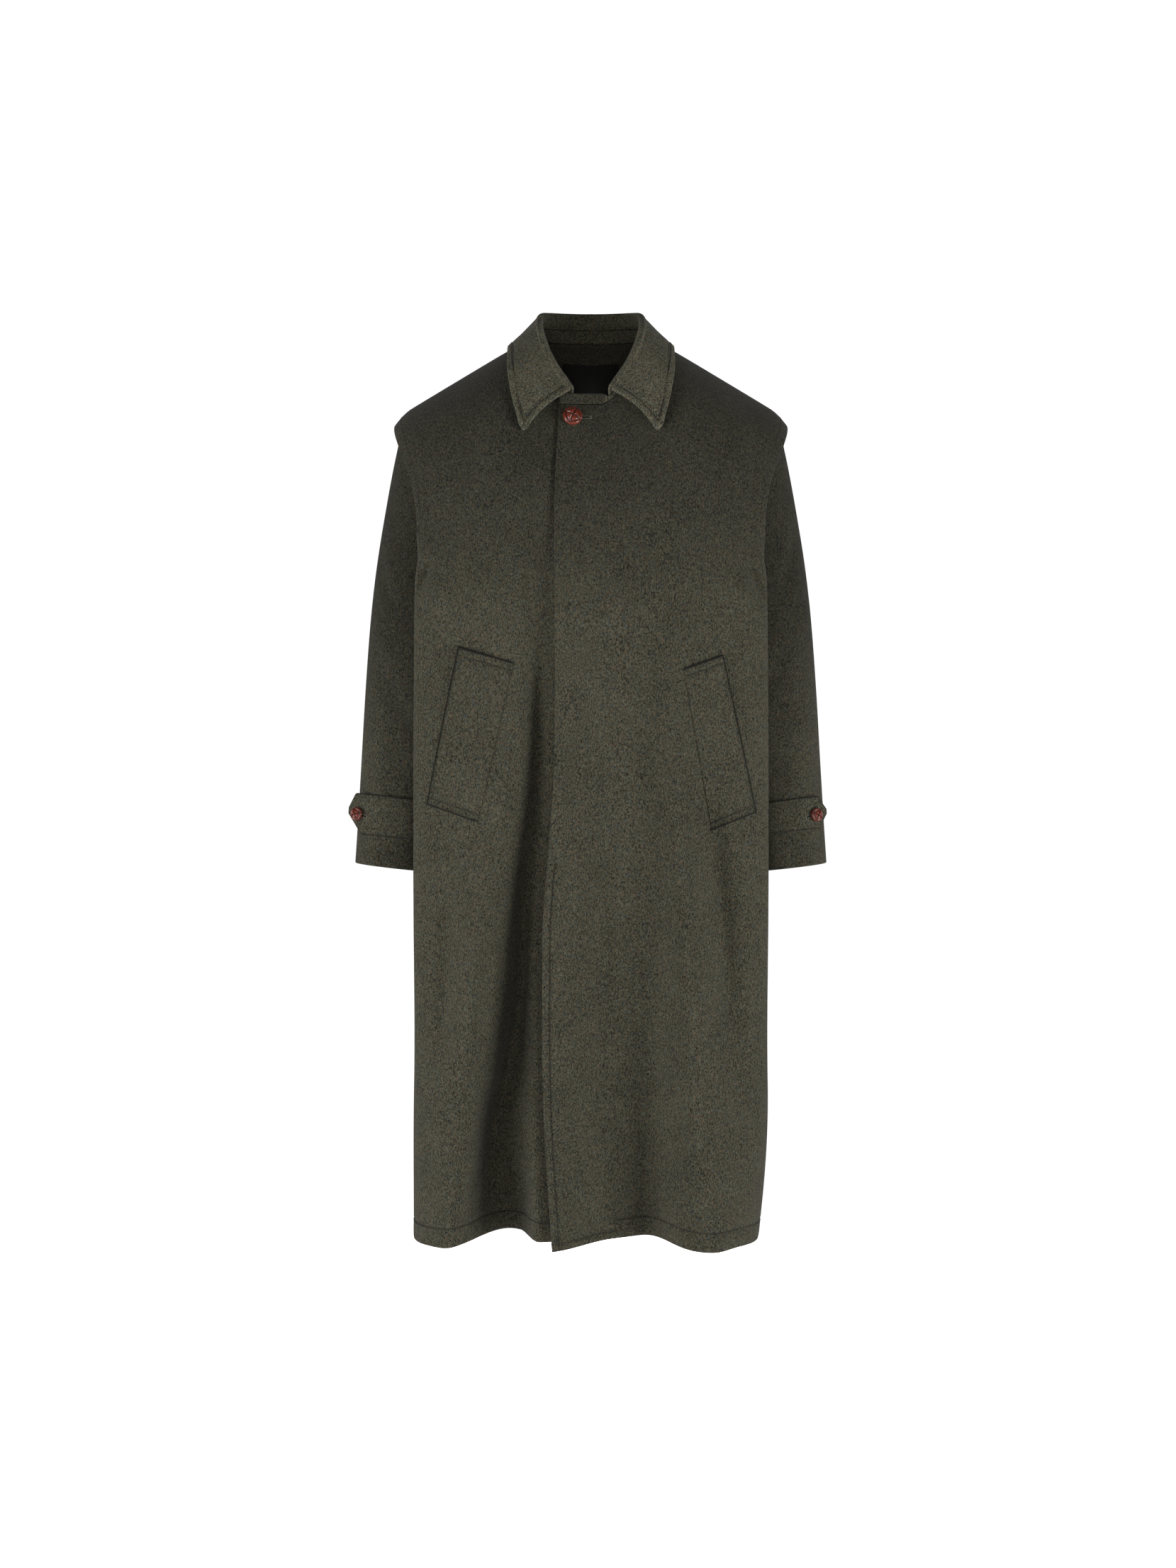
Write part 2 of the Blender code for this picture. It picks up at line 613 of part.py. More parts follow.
STRAP_START, STRAP_LEAVE = 130.0, 62.0  # degrees round the sleeve, from beside the body
STRAP_STEPS, STRAP_ROWS = 10, 4
STRAP_FREE_STEPS = (0.35, 0.62, 0.80, 0.90, 1.0)  # shares of the free length, closer at the point


def strap_grid(side):
    """A cuff strap, as if on the left: round the front of the sleeve, then straight off it to a point."""
    columns = []
    strap = STRAPS[side]
    place = np.linspace(0, 1, len(SLEEVE["outer_z"]))
    heights = np.linspace(strap["top_z"], strap["bottom_z"], STRAP_ROWS + 1)
    rows = np.interp(-heights, -SLEEVE["outer_z"], place)
    turns = np.radians(np.linspace(STRAP_START, STRAP_LEAVE, STRAP_STEPS + 1))
    for angle, climb in zip(turns, np.linspace(strap["climb"], 0, STRAP_STEPS + 1)):
        columns.append([sleeve_lifted(t, angle, CLEAR) for t in rows - climb])
    last, before = np.array(columns[-1]), np.array(columns[-2])
    way = (last - before).mean(axis=0)
    way /= np.linalg.norm(way)
    tip = last[0] + (last[-1] - last[0]) * strap["tip_share"]
    upper = np.arange(STRAP_ROWS + 1) < STRAP_ROWS / 2
    point = np.where(upper, strap["upper_point"], strap["lower_point"])
    for length in strap["free"] * np.array(STRAP_FREE_STEPS):
        narrow = np.minimum(1, STRAP_TIP + (1 - STRAP_TIP) * (strap["free"] - length) / point)
        columns.append(tip + (last - tip) * narrow[:, None] + way * length)
    return np.array(columns, float)


def sleeve_lifted(t, angle, lift):
    """A place on the left sleeve, moved out along its normal."""
    step = 0.004
    here = sleeve_point(t, angle)
    along = sleeve_point(t + step, angle) - sleeve_point(t - step, angle)
    around = sleeve_point(t, angle + step) - sleeve_point(t, angle - step)
    normal = np.cross(around, along)
    return here + normal / np.linalg.norm(normal) * lift


def make_straps():
    """A pointed strap on each cuff."""
    sheet("strap_left", strap_grid("left"), STRAP_CLOTH, 1, WOOL)
    sheet("strap_right", (strap_grid("right") * MIRROR)[::-1], STRAP_CLOTH, 1, WOOL)


def make_label():
    """The bare neck label, inside the back."""
    x = np.linspace(LABEL_WIDTH / 2, -LABEL_WIDTH / 2, 9)
    z = np.linspace(LABEL_BOTTOM_Z, LABEL_TOP_Z, 6)
    across, up = np.meshgrid(x, z)
    grid = panel_point("back", across, up, -(CLOTH + LABEL_CLEAR))
    sheet("label", grid, LABEL_CLOTH, -1, LABEL)


# Buttons

BUTTON_SEGMENTS = 20
# Half section of a domed button of radius 1 with its shank, from the crown down to the cloth
BUTTON_OUTLINE = (
    (0.00, 0.70),
    (0.35, 0.66),
    (0.70, 0.52),
    (0.93, 0.32),
    (1.00, 0.14),
    (0.92, 0.02),
    (0.70, -0.02),
    (0.30, -0.02),
    (0.28, -0.14),
    (0.00, -0.14),
)
BUTTON_FOOT = 0.14


def make_button(name, radius, seat, normal):
    """A domed button on its shank, turned from its half section, standing on a seat point."""
    mesh = bpy.data.meshes.new(name)
    points = [(r * radius, 0, (h + BUTTON_FOOT) * radius) for r, h in BUTTON_OUTLINE]
    mesh.from_pydata(points, [(i, i + 1) for i in range(len(points) - 1)], [])
    button = bpy.data.objects.new(name, mesh)
    coat.objects.link(button)
    turned = button.modifiers.new("turned", "SCREW")
    turned.steps = turned.render_steps = BUTTON_SEGMENTS
    turned.use_merge_vertices = True
    turned.merge_threshold = 0.00005
    turned.use_smooth_shade = True
    normal = np.asarray(normal, float) / np.linalg.norm(normal)
    z_axis = np.array([0, 0, 1.0])
    across = np.cross(z_axis, normal)
    lean = math.atan2(np.linalg.norm(across), z_axis @ normal)
    button.rotation_mode = "AXIS_ANGLE"
    button.rotation_axis_angle = (lean, *(across / np.linalg.norm(across)))
    button.location = np.asarray(seat, float) + normal * BUTTON_CLEAR
    mesh.materials.append(finish(name, *LEATHER))
    return button


def make_buttons():
    """One at the throat and one near the point of each cuff strap."""
    seat = panel_point("front_left", COLLAR_BUTTON_X, COLLAR_BUTTON_Z)
    normal = panel_point("front_left", COLLAR_BUTTON_X, COLLAR_BUTTON_Z, 1.0) - seat
    make_button("button_collar", COLLAR_BUTTON_RADIUS, seat, normal)
    for side, flip in (("left", np.ones(3)), ("right", MIRROR)):
        grid = strap_grid(side)
        tip, before = grid[-1, STRAP_ROWS // 2], grid[-2, STRAP_ROWS // 2]
        along = (tip - before) / np.linalg.norm(tip - before)
        normal = np.cross(grid[-2, -1] - grid[-2, 0], along)
        normal /= np.linalg.norm(normal)
        seat = tip - along * STRAPS[side]["button"] + normal * STRAP_CLOTH
        make_button("button_cuff_" + side, CUFF_BUTTON_RADIUS, seat * flip, normal * flip)


for thing in list(bpy.data.objects):
    bpy.data.objects.remove(thing)
coat = bpy.data.collections.new("wool_coat")
bpy.context.scene.collection.children.link(coat)
make_body()
make_sleeves()
make_collar()
make_pockets()
make_straps()
make_label()
make_buttons()
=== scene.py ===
import math

import bpy
import numpy as np
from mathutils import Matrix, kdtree


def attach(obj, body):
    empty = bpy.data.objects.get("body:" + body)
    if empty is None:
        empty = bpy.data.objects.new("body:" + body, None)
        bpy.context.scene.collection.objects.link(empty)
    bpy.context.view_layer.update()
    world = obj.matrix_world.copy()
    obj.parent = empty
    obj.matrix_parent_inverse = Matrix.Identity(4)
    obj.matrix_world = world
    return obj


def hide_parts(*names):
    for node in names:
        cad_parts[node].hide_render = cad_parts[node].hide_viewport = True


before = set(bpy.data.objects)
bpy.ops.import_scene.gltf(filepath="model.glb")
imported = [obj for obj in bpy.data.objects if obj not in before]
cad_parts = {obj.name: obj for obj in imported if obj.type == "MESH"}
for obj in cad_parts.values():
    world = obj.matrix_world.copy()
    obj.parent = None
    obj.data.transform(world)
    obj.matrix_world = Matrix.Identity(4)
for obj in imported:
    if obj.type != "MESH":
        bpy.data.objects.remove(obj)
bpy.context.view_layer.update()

# Fronts and back
# Three panels of heavy fulled wool, dark olive melange with a short nap, each front cut in one with the
# wing that stands over the sleeve. They are sewn at the shoulders and sides, with the left front on top.

CLOTH = 0.0025
SEAM = 0.0006
SIDE_LAP = 0.0002  # the sewn sides run a little past each other, so that no light passes
HEM_Z = -1.165
ARMPIT_Z = -0.315
CHEST_Z = -0.240
FRONT_UNDERLAP = 0.036
BOXINESS = 3.0  # of the body's plan; 2 would be an ellipse
CORNER_SHARE, CORNER_DEPTH = 0.9015, 0.644  # where a face turns into the side, of half width and depth
GROOVE_REACH, GROOVE_START, GROOVE_FLATNESS = 0.070, 0.045, 4  # of the hollow where the sleeve lies
NECK_HALF, NECK_FLAT, NECK_ROUND = 0.078, 0.012, 1.5
NECK_FRONT_Z, NECK_BACK_Z = -0.082, 0.026
SHOULDER_SLOPE, SHOULDER_X, SHOULDER_Z = 0.593, 0.133, -0.0116  # the seam's fall and a place on it
TIP_X, TIP_DROOP, TIP_DROOP_START = 0.260, 0.010, 0.236  # the seam droops towards the shoulder tip
MIRROR = np.array([-1.0, 1.0, 1.0])


def table(columns, *rows):
    """A short table as one array for each named column."""
    return dict(zip(columns.split(), np.array(rows, float).T))


# The body's plan outline by height, and the wing's free edge from the armhole up to the shoulder tip
BODY = table(
    "z half_width front back groove",
    (-1.165, 0.2335, 0.142, 0.170, 0.000),
    (-0.950, 0.2420, 0.142, 0.160, 0.010),
    (-0.750, 0.2525, 0.140, 0.150, 0.0345),
    (-0.600, 0.2575, 0.138, 0.143, 0.0555),
    (-0.450, 0.2605, 0.136, 0.138, 0.0735),
    (-0.315, 0.2625, 0.134, 0.133, 0.0925),
    (-0.240, 0.2495, 0.132, 0.130, 0.0925),
)
WING = table(
    "z x",
    (-0.240, 0.2249),
    (-0.207, 0.2282),
    (-0.174, 0.2347),
    (-0.131, 0.2510),
    (-0.110, 0.2580),
    (-0.099, 0.2600),
)
# The free edge of the left front, which swings past the centre line towards the hem
LAP_EDGE = table(
    "z x",
    (-1.165, -0.0495),
    (-0.970, -0.0610),
    (-0.770, -0.0620),
    (-0.640, -0.0530),
    (-0.570, -0.0480),
    (-0.240, -0.0470),
)
FACE = {"front_left": "front", "front_right": "front", "back": "back"}
NECK_START = {"front_left": -0.041, "front_right": -FRONT_UNDERLAP, "back": 0.0}
# How far below the shoulder seam a face reaches its full depth, at the centre line and away from it
ROUNDING = {"front": (0.40, 0.150), "back": (0.100, 0.160)}
ROUNDING_FADE_X = 0.130

# Hanging folds: x at the top and at the hem, where each starts, how far it lies in, both half widths
FOLDS = {
    "front_left": (
        (0.020, 0.035, -0.45, 0.060, 0.050, 0.058),
        (0.060, 0.082, -0.42, 0.041, 0.020, 0.031),
        (0.150, 0.172, -0.60, -0.012, 0.050, 0.046),
        (-0.047, -0.049, -0.60, -0.004, 0.030, 0.030),
    ),
    "front_right": (
        (-0.055, -0.105, -0.34, 0.106, 0.018, 0.056),
        (-0.156, -0.190, -0.55, -0.012, 0.050, 0.040),
    ),
    "back": (
        (-0.070, -0.105, -0.42, 0.050, 0.035, 0.045),
        (0.075, 0.110, -0.46, 0.055, 0.035, 0.045),
        (0.000, 0.004, -0.50, -0.022, 0.040, 0.050),
    ),
}
FOLD_FADE = 0.70, 0.90  # shares of the half width between which folds die out towards the side
FOLD_GROWTH = 1.25  # a power: folds deepen faster towards the hem
HEM_RAISE = 0.11  # how far the hem rises for each unit that a fold lies in
# How far the right front lies under the left one, by height
LAP = table(
    "z drop",
    (-1.165, 0.0450),
    (-1.030, 0.0520),
    (-0.880, 0.0550),
    (-0.740, 0.0470),
    (-0.600, 0.0310),
    (-0.480, 0.0190),
    (-0.380, 0.0105),
    (-0.280, 0.0060),
    (-0.100, 0.0046),
    (0.000, 0.0046),
)
LAP_START, LAP_END = -0.092, -0.066  # across the fronts, where it goes under
HEM_SWING, SWING_TOP_Z = 0.013, -0.96  # the wearer's left side swings in towards the hem
SWING_START_X, SWING_FULL_X = 0.12, 0.22

# Soft creases: x and z of both ends, how far each lies in (out where negative) and its half width
CREASES = {
    "front_left": (
        (0.194, -0.276, 0.226, -0.332, 0.0105, 0.006),
        (0.186, -0.296, 0.207, -0.366, -0.0060, 0.010),
        (0.150, -0.120, 0.198, -0.250, 0.0040, 0.014),
        (0.212, -0.100, 0.204, -0.285, 0.0034, 0.006),
        (0.100, -0.140, 0.120, -0.330, -0.0030, 0.022),
        (0.030, -0.340, 0.012, -1.080, 0.0070, 0.013),
        (0.066, -0.300, 0.070, -0.700, 0.0048, 0.012),
        (0.066, -0.480, 0.072, -1.150, -0.0040, 0.016),
        (0.092, -0.330, 0.146, -1.160, -0.0160, 0.020),
        (0.140, -0.420, 0.196, -1.100, 0.0150, 0.018),
        (-0.014, -0.480, -0.020, -0.880, -0.0020, 0.012),
        (0.004, -0.620, -0.004, -0.930, 0.0016, 0.007),
        (0.112, -0.900, 0.118, -1.150, 0.0030, 0.010),
    ),
    "front_right": (
        (-0.200, -0.276, -0.228, -0.334, 0.0115, 0.006),
        (-0.188, -0.300, -0.208, -0.372, -0.0060, 0.010),
        (-0.146, -0.110, -0.196, -0.245, 0.0038, 0.013),
        (-0.214, -0.095, -0.205, -0.300, 0.0038, 0.006),
        (-0.096, -0.150, -0.112, -0.350, -0.0030, 0.020),
        (-0.064, -0.180, -0.060, -0.420, 0.0028, 0.015),
        (-0.066, -0.360, -0.070, -0.720, 0.0080, 0.010),
        (-0.176, -0.560, -0.198, -1.060, 0.0080, 0.012),
        (-0.136, -0.600, -0.168, -1.000, -0.0070, 0.013),
        (-0.204, -0.800, -0.186, -1.140, -0.0026, 0.011),
        (-0.112, -0.330, -0.104, -0.620, 0.0024, 0.016),
        (-0.078, -0.560, -0.100, -1.000, 0.0150, 0.012),
        (-0.088, -0.820, -0.136, -1.080, 0.0180, 0.012),
        (-0.128, -0.940, -0.138, -1.178, 0.0230, 0.013),
        (-0.086, -0.920, -0.098, -1.175, -0.0140, 0.015),
    ),
    "back": (
        (-0.184, -0.262, -0.210, -0.318, 0.0055, 0.008),
        (0.188, -0.270, 0.214, -0.330, 0.0060, 0.008),
        (-0.140, -0.120, -0.192, -0.246, 0.0040, 0.014),
        (0.148, -0.130, 0.195, -0.252, 0.0036, 0.013),
        (-0.060, -0.100, -0.082, -0.300, -0.0030, 0.020),
        (0.066, -0.090, 0.080, -0.340, -0.0030, 0.022),
        (-0.030, -0.420, -0.036, -0.860, 0.0028, 0.013),
        (0.032, -0.520, 0.040, -1.020, 0.0030, 0.014),
        (-0.146, -0.560, -0.158, -1.060, 0.0034, 0.015),
        (0.150, -0.480, 0.156, -0.940, 0.0030, 0.014),
        (-0.128, -0.860, -0.140, -1.140, -0.0030, 0.013),
        (0.134, -0.780, 0.140, -1.130, -0.0028, 0.014),
    ),
}
CREASE_FADE = 1.5  # a power: creases die out sooner at their ends


def curve(at, xs, ys):
    """A smooth curve through the points (xs, ys), with xs rising, read at the places given."""
    xs, ys = np.asarray(xs, float), np.asarray(ys, float)
    rise = np.diff(ys) / np.diff(xs)
    slope = np.concatenate([rise[:1], (rise[1:] + rise[:-1]) / 2, rise[-1:]])
    slope[1:-1][rise[1:] * rise[:-1] <= 0] = 0
    at = np.clip(at, xs[0], xs[-1])
    i = np.clip(np.searchsorted(xs, at) - 1, 0, len(xs) - 2)
    span = xs[i + 1] - xs[i]
    t = (at - xs[i]) / span
    start = (1 + 2 * t) * (1 - t) ** 2 * ys[i] + t * (1 - t) ** 2 * span * slope[i]
    end = t * t * (3 - 2 * t) * ys[i + 1] - t * t * (1 - t) * span * slope[i + 1]
    return start + end


def ease(value, low, high):
    """0 at low, 1 at high, smooth between."""
    t = np.clip((value - low) / (high - low), 0, 1)
    return t * t * (3 - 2 * t)


def shoulder_z(x):
    """Height of the shoulder seam at a distance from the centre line, rounded off across the neck."""
    x = np.where(np.abs(x) < NECK_HALF, (np.square(x) / NECK_HALF + NECK_HALF) / 2, np.abs(x))
    droop = TIP_DROOP * np.maximum((x - TIP_DROOP_START) / (TIP_X - TIP_DROOP_START), 0) ** 2
    return SHOULDER_Z - SHOULDER_SLOPE * (x - SHOULDER_X) - droop


def neck_z(face, x):
    """Height of the neck seam, where x runs from the centre line towards the shoulder."""
    side_z = shoulder_z(NECK_HALF)
    if face == "back":
        return NECK_BACK_Z + (side_z - NECK_BACK_Z) * np.clip(x / NECK_HALF, 0, 1) ** 2
    t = np.clip((x - NECK_FLAT) / (NECK_HALF - NECK_FLAT), 0, 1)
    return NECK_FRONT_Z + (side_z - NECK_FRONT_Z) * (1 - (1 - t**NECK_ROUND) ** (1 / NECK_ROUND))


def half_width(z):
    """The body's half width at a height, up the wing's edge above the chest."""
    wing = curve(z, WING["z"], WING["x"]) / CORNER_SHARE
    return np.where(z > CHEST_Z, wing, curve(z, BODY["z"], BODY["half_width"]))


def rounded(face, x, z):
    """Share of the full depth near the shoulder: 0 on its seam, 1 well below it."""
    at_neck, past_neck = ROUNDING[face]
    reach = past_neck + (at_neck - past_neck) * (1 - ease(np.abs(x), 0, ROUNDING_FADE_X))
    below = np.clip((shoulder_z(x) - z) / reach, 0, 1)
    return np.sqrt(1 - (1 - below) ** 2)


def fold_depth(panel, x, z):
    """How far the hanging folds set the cloth back at a place."""
    total = np.zeros(np.broadcast(x, z).shape)
    for x_top, x_hem, z_top, deep, width_top, width_hem in FOLDS[panel]:
        t = np.clip((z_top - z) / (z_top - HEM_Z), 0, 1)
        middle = x_top + (x_hem - x_top) * t
        width = width_top + (width_hem - width_top) * t
        total = total + deep * t**FOLD_GROWTH * np.exp(-(((x - middle) / width) ** 2))
    return total


def crease_depth(creases, across, along):
    """How far creases lie in at a place: soft troughs that die out at both ends."""
    total = np.zeros(np.broadcast(across, along).shape)
    for x0, z0, x1, z1, deep, width in creases:
        run, fall = x1 - x0, z1 - z0
        length = math.hypot(run, fall)
        t = ((across - x0) * run + (along - z0) * fall) / length**2
        beside = ((across - x0) * fall - (along - z0) * run) / length
        fade = np.sin(math.pi * np.clip(t, 0, 1)) ** CREASE_FADE
        total = total + deep * fade * np.exp(-((beside / width) ** 2))
    return total


def plain_depth(face, x, z):
    """Depth of the body's outline without folds, at a distance from the centre line."""
    across = np.clip(1 - (np.abs(x) / half_width(z)) ** BOXINESS, 0, 1) ** (1 / BOXINESS)
    return curve(z, BODY["z"], BODY[face]) * across * rounded(face, x, z)


def set_back(panel, x, z):
    """How far a panel lies behind the plain outline: its folds and creases, and the right front's lap."""
    folded = fold_depth(panel, x, z)
    if panel == "front_right":
        under = fold_depth("front_left", x, z) + curve(z, LAP["z"], LAP["drop"])
        share = ease(x, LAP_START, LAP_END)
        folded = folded * (1 - share) + under * share
    folded = folded * (1 - ease(np.abs(x) / half_width(z), *FOLD_FADE))
    return folded + crease_depth(CREASES[panel], x, z)


def depth(panel, x, z):
    """Distance of a panel's outer face from the plane of the shoulder seams."""
    return plain_depth(FACE[panel], x, z) - set_back(panel, x, z)


def panel_slopes(panel, x, z):
    """A panel's depth at a place, and how it changes along x and z."""
    step = 0.0005
    d = depth(panel, x, z)
    slope_x = (depth(panel, x + step, z) - depth(panel, x - step, z)) / (2 * step)
    slope_z = (d - depth(panel, x, z - step)) / step
    return d, slope_x, slope_z


def unit(vectors):
    """Vectors made one long."""
    return vectors / np.linalg.norm(vectors, axis=-1, keepdims=True)


def panel_normal(panel, x, z):
    """The way out of a panel's face at a place."""
    d, slope_x, slope_z = panel_slopes(panel, x, z)
    return unit(np.stack([-slope_x, np.full_like(d, way_out(panel)), -slope_z], axis=-1))


def panel_point(panel, x, z, lift=0.0):
    """A place on a panel's outer face, moved out along its normal."""
    x, z = np.asarray(x, float), np.asarray(z, float)
    face = np.stack([x, way_out(panel) * depth(panel, x, z), z], axis=-1)
    return face + panel_normal(panel, x, z) * lift


def way_out(panel):
    """The direction along Y in which a panel faces."""
    return 1.0 if panel == "back" else -1.0


def side_x(y, z, face):
    """The body's half width at a depth, with the hollow where the sleeve lies."""
    full = curve(z, BODY["z"], BODY[face])
    across = np.clip(1 - (np.abs(y) / full) ** BOXINESS, 0, 1) ** (1 / BOXINESS)
    groove = curve(z, BODY["z"], BODY["groove"]) * ease(CHEST_Z - z, 0, GROOVE_START)
    return half_width(z) * across - groove * np.exp(-((y / GROOVE_REACH) ** GROOVE_FLATNESS))


def swing_in(side, x, z):
    """How far a place moves towards the centre line where the wearer's left side swings in at the hem."""
    fall = np.clip((SWING_TOP_Z - z) / (SWING_TOP_Z - HEM_Z), 0, 1)
    return max(side, 0) * HEM_SWING * fall**2 * ease(x, SWING_START_X, SWING_FULL_X)


def armhole_z(share):
    """Height of the armhole's lower edge; share is 1 at the wing's edge and 0 at the side seam."""
    return ARMPIT_Z + (CHEST_Z - ARMPIT_Z) * (1 - np.sqrt(1 - np.clip(share, 0, 1) ** 2))


def inner_edge(panel, z):
    """Where a panel starts at a height, measured towards its own side."""
    if panel == "front_left":
        return float(curve(z, LAP_EDGE["z"], LAP_EDGE["x"]))
    return NECK_START[panel]


WRAP_SHARE = 0.82  # of the depth, where the outline is read along the side and no longer across
OUTLINE_POINTS = 240


def level_row(panel, side, z, share):
    """One level of a panel, from its inner edge to the outline's corner, at shares of the way."""
    face = FACE[panel]
    full = curve(z, BODY["z"], BODY[face])
    turn = half_width(z) * (1 - WRAP_SHARE**BOXINESS) ** (1 / BOXINESS)
    across = np.linspace(inner_edge(panel, z), turn, OUTLINE_POINTS)
    along = np.linspace(WRAP_SHARE, CORNER_DEPTH, OUTLINE_POINTS)[1:] * full
    x = np.concatenate([across, side_x(along, z, face)])
    y = np.concatenate([plain_depth(face, across, z), along])
    way = way_along(np.stack([x, y], axis=-1), 0)
    x = np.interp(share * way[-1], way, x)
    y = np.interp(share * way[-1], way, y) - set_back(panel, side * x, np.full_like(x, z))
    return x, y


EDGE_PLACES = 0.0, 0.0003, 0.0009, 0.0018, 0.0032  # where rounded edges need points
LINE_PLACES = -0.0018, -0.0008, 0.0, 0.0008, 0.0018  # beside a line of stitches
STITCH_IN = 0.010  # from an edge to its line of stitches
HEM_STITCH = 0.025
STEP = 0.0048  # between points on the large pieces


def places(length, step, start=(), end=()):
    """Shares of a length at even steps, closer at edges and along stitch lines.

    start and end give how far lines of stitches lie from each end; None is for an end with no edge.
    """

    def near(lines):
        if lines is None:
            return np.zeros(1)
        return np.array([*EDGE_PLACES, *(line + off for line in lines for off in LINE_PLACES)])

    first, last = near(start), length - near(end)[::-1]
    count = max(2, round((last[0] - first[-1]) / step))
    middle = np.linspace(first[-1], last[0], count + 1)[1:-1]
    return np.concatenate([first, middle, last]) / length


WRAP_LENGTH = 0.105  # round the side, from the outline's corner to the side seam
SKIRT_LENGTH = CHEST_Z - HEM_Z
SKIRT = places(SKIRT_LENGTH, STEP, (STITCH_IN, HEM_STITCH), None)
YOKE_ROWS = 56
HEM_ROW = int(np.argmin(np.abs(SKIRT * SKIRT_LENGTH - HEM_STITCH)))
LOW_HEM_ROW = int(np.argmin(np.abs(SKIRT * SKIRT_LENGTH - STITCH_IN)))
STITCH_COLUMN = len(EDGE_PLACES) + len(LINE_PLACES) // 2  # the line of stitches, counted from an edge


def column_shares(panel, start):
    """Shares across a panel from its inner edge to the wing's edge, with a column on the neck point."""
    inner = NECK_START[panel]
    share = places(TIP_X - inner, STEP, start, (STITCH_IN,))
    neck = (NECK_HALF - inner) / (TIP_X - inner)
    share[np.argmin(np.abs(share - neck))] = neck
    return share


def half_panel(panel, side, share):
    """Rows of points from the hem up to the neck and shoulder seam; side is +1 on the wearer's left.

    The last columns wrap round to the side seam and stop at the armhole.
    """
    face = FACE[panel]
    out = way_out(panel)
    top_x = NECK_START[panel] + share * (TIP_X - NECK_START[panel])
    top_z = np.where(top_x <= NECK_HALF, neck_z(face, top_x), shoulder_z(top_x))
    wrap = places(WRAP_LENGTH, STEP, None, ())[1:]
    no_cloth = np.full(len(wrap), np.nan)
    edge_z = armhole_z(1 - wrap)
    rows = []
    for t in SKIRT:
        z = HEM_Z + SKIRT_LENGTH * t
        x, y = level_row(panel, side, z, share)
        chest_x = x
        z = z + HEM_RAISE * set_back(panel, side * x, np.full_like(x, z)) * (1 - t) ** 2
        wrap_z = HEM_Z + (edge_z - HEM_Z) * t
        corner = CORNER_DEPTH * curve(wrap_z, BODY["z"], BODY[face])
        wrap_y = corner - (corner + SIDE_LAP) * wrap
        x = np.concatenate([x, side_x(wrap_y, wrap_z, face)])
        y = np.concatenate([y, wrap_y])
        z = np.concatenate([z, wrap_z])
        x = x - swing_in(side, x, z)
        rows.append(np.stack([side * x, out * y, z], axis=-1))
    for t in np.linspace(0, 1, YOKE_ROWS + 1)[1:]:
        z = CHEST_Z + (top_z - CHEST_Z) * math.sin(t * math.pi / 2)
        climb = (curve(z[-1], WING["z"], WING["x"]) - WING["x"][0]) / (TIP_X - WING["x"][0])
        x = chest_x + (top_x - chest_x) * climb
        y = np.maximum(depth(panel, side * x, z), SEAM / 2)
        x, y, z = (np.concatenate([values, no_cloth]) for values in (x, y, z))
        rows.append(np.stack([side * x, out * y, z], axis=-1))
    return np.array(rows)


def grid_quads(grid, closed=False):
    """Corner numbers of a grid's quads, where all four points hold cloth."""
    rows, columns = grid.shape[:2]
    number = np.arange(rows * columns).reshape(rows, columns)
    cloth = np.isfinite(grid[..., 0])
    if closed:
        number, cloth = (np.concatenate([values, values[:, :1]], axis=1) for values in (number, cloth))
    low, high = slice(-1), slice(1, None)
    corners = [(low, low), (low, high), (high, high), (high, low)]
    whole = np.all([cloth[corner] for corner in corners], axis=0)
    return np.stack([number[corner][whole] for corner in corners], axis=-1)


def grid_normals(grid, closed=False):
    """The way out at each point of a grid."""
    quads = grid_quads(grid, closed)
    points = grid.reshape(-1, 3)
    a, b, c, d = (points[corner] for corner in quads.T)
    normals = np.zeros_like(points)
    for corner in quads.T:
        np.add.at(normals, corner, np.cross(c - a, d - b))
    length = np.linalg.norm(normals, axis=1, keepdims=True)
    return (normals / np.maximum(length, 1e-12)).reshape(grid.shape)


def lifted(grid, lift, closed=False):
    """A grid with each point moved out along its normal."""
    return grid + grid_normals(grid, closed) * np.asarray(lift)[..., None]


def way_along(grid, axis):
    """Distance along each row (axis 1) or column (axis 0) of a grid, or a line of points (axis 0)."""
    step = np.linalg.norm(np.diff(grid, axis=axis), axis=-1)
    first = np.zeros_like(np.take(step, [0], axis=axis))
    return np.concatenate([first, np.cumsum(step, axis=axis)], axis=axis)


STITCH_DEPTH, STITCH_WIDTH, EDGE_FULLNESS = 0.0010, 0.0013, 0.0003


def stitched_edge(distance, line, where=1.0):
    """Lift of the cloth at a stitched edge: pulled in along the line, full between line and edge."""
    pulled = -STITCH_DEPTH * np.exp(-(((distance - line) / STITCH_WIDTH) ** 2))
    full = EDGE_FULLNESS * np.sin(math.pi * np.clip(distance / line, 0, 1))
    return np.nan_to_num((pulled + full) * where)


EDGE_SHADE = 0.0026  # how far in from an edge its painted shadow reaches
GROOVE_SHADE = 0.7  # painted shade: how much darker a line of stitches is made


def in_groove(lift):
    """Painted shade in the groove where stitches draw the cloth in."""
    return GROOVE_SHADE * np.clip(-lift / STITCH_DEPTH, 0, 1)


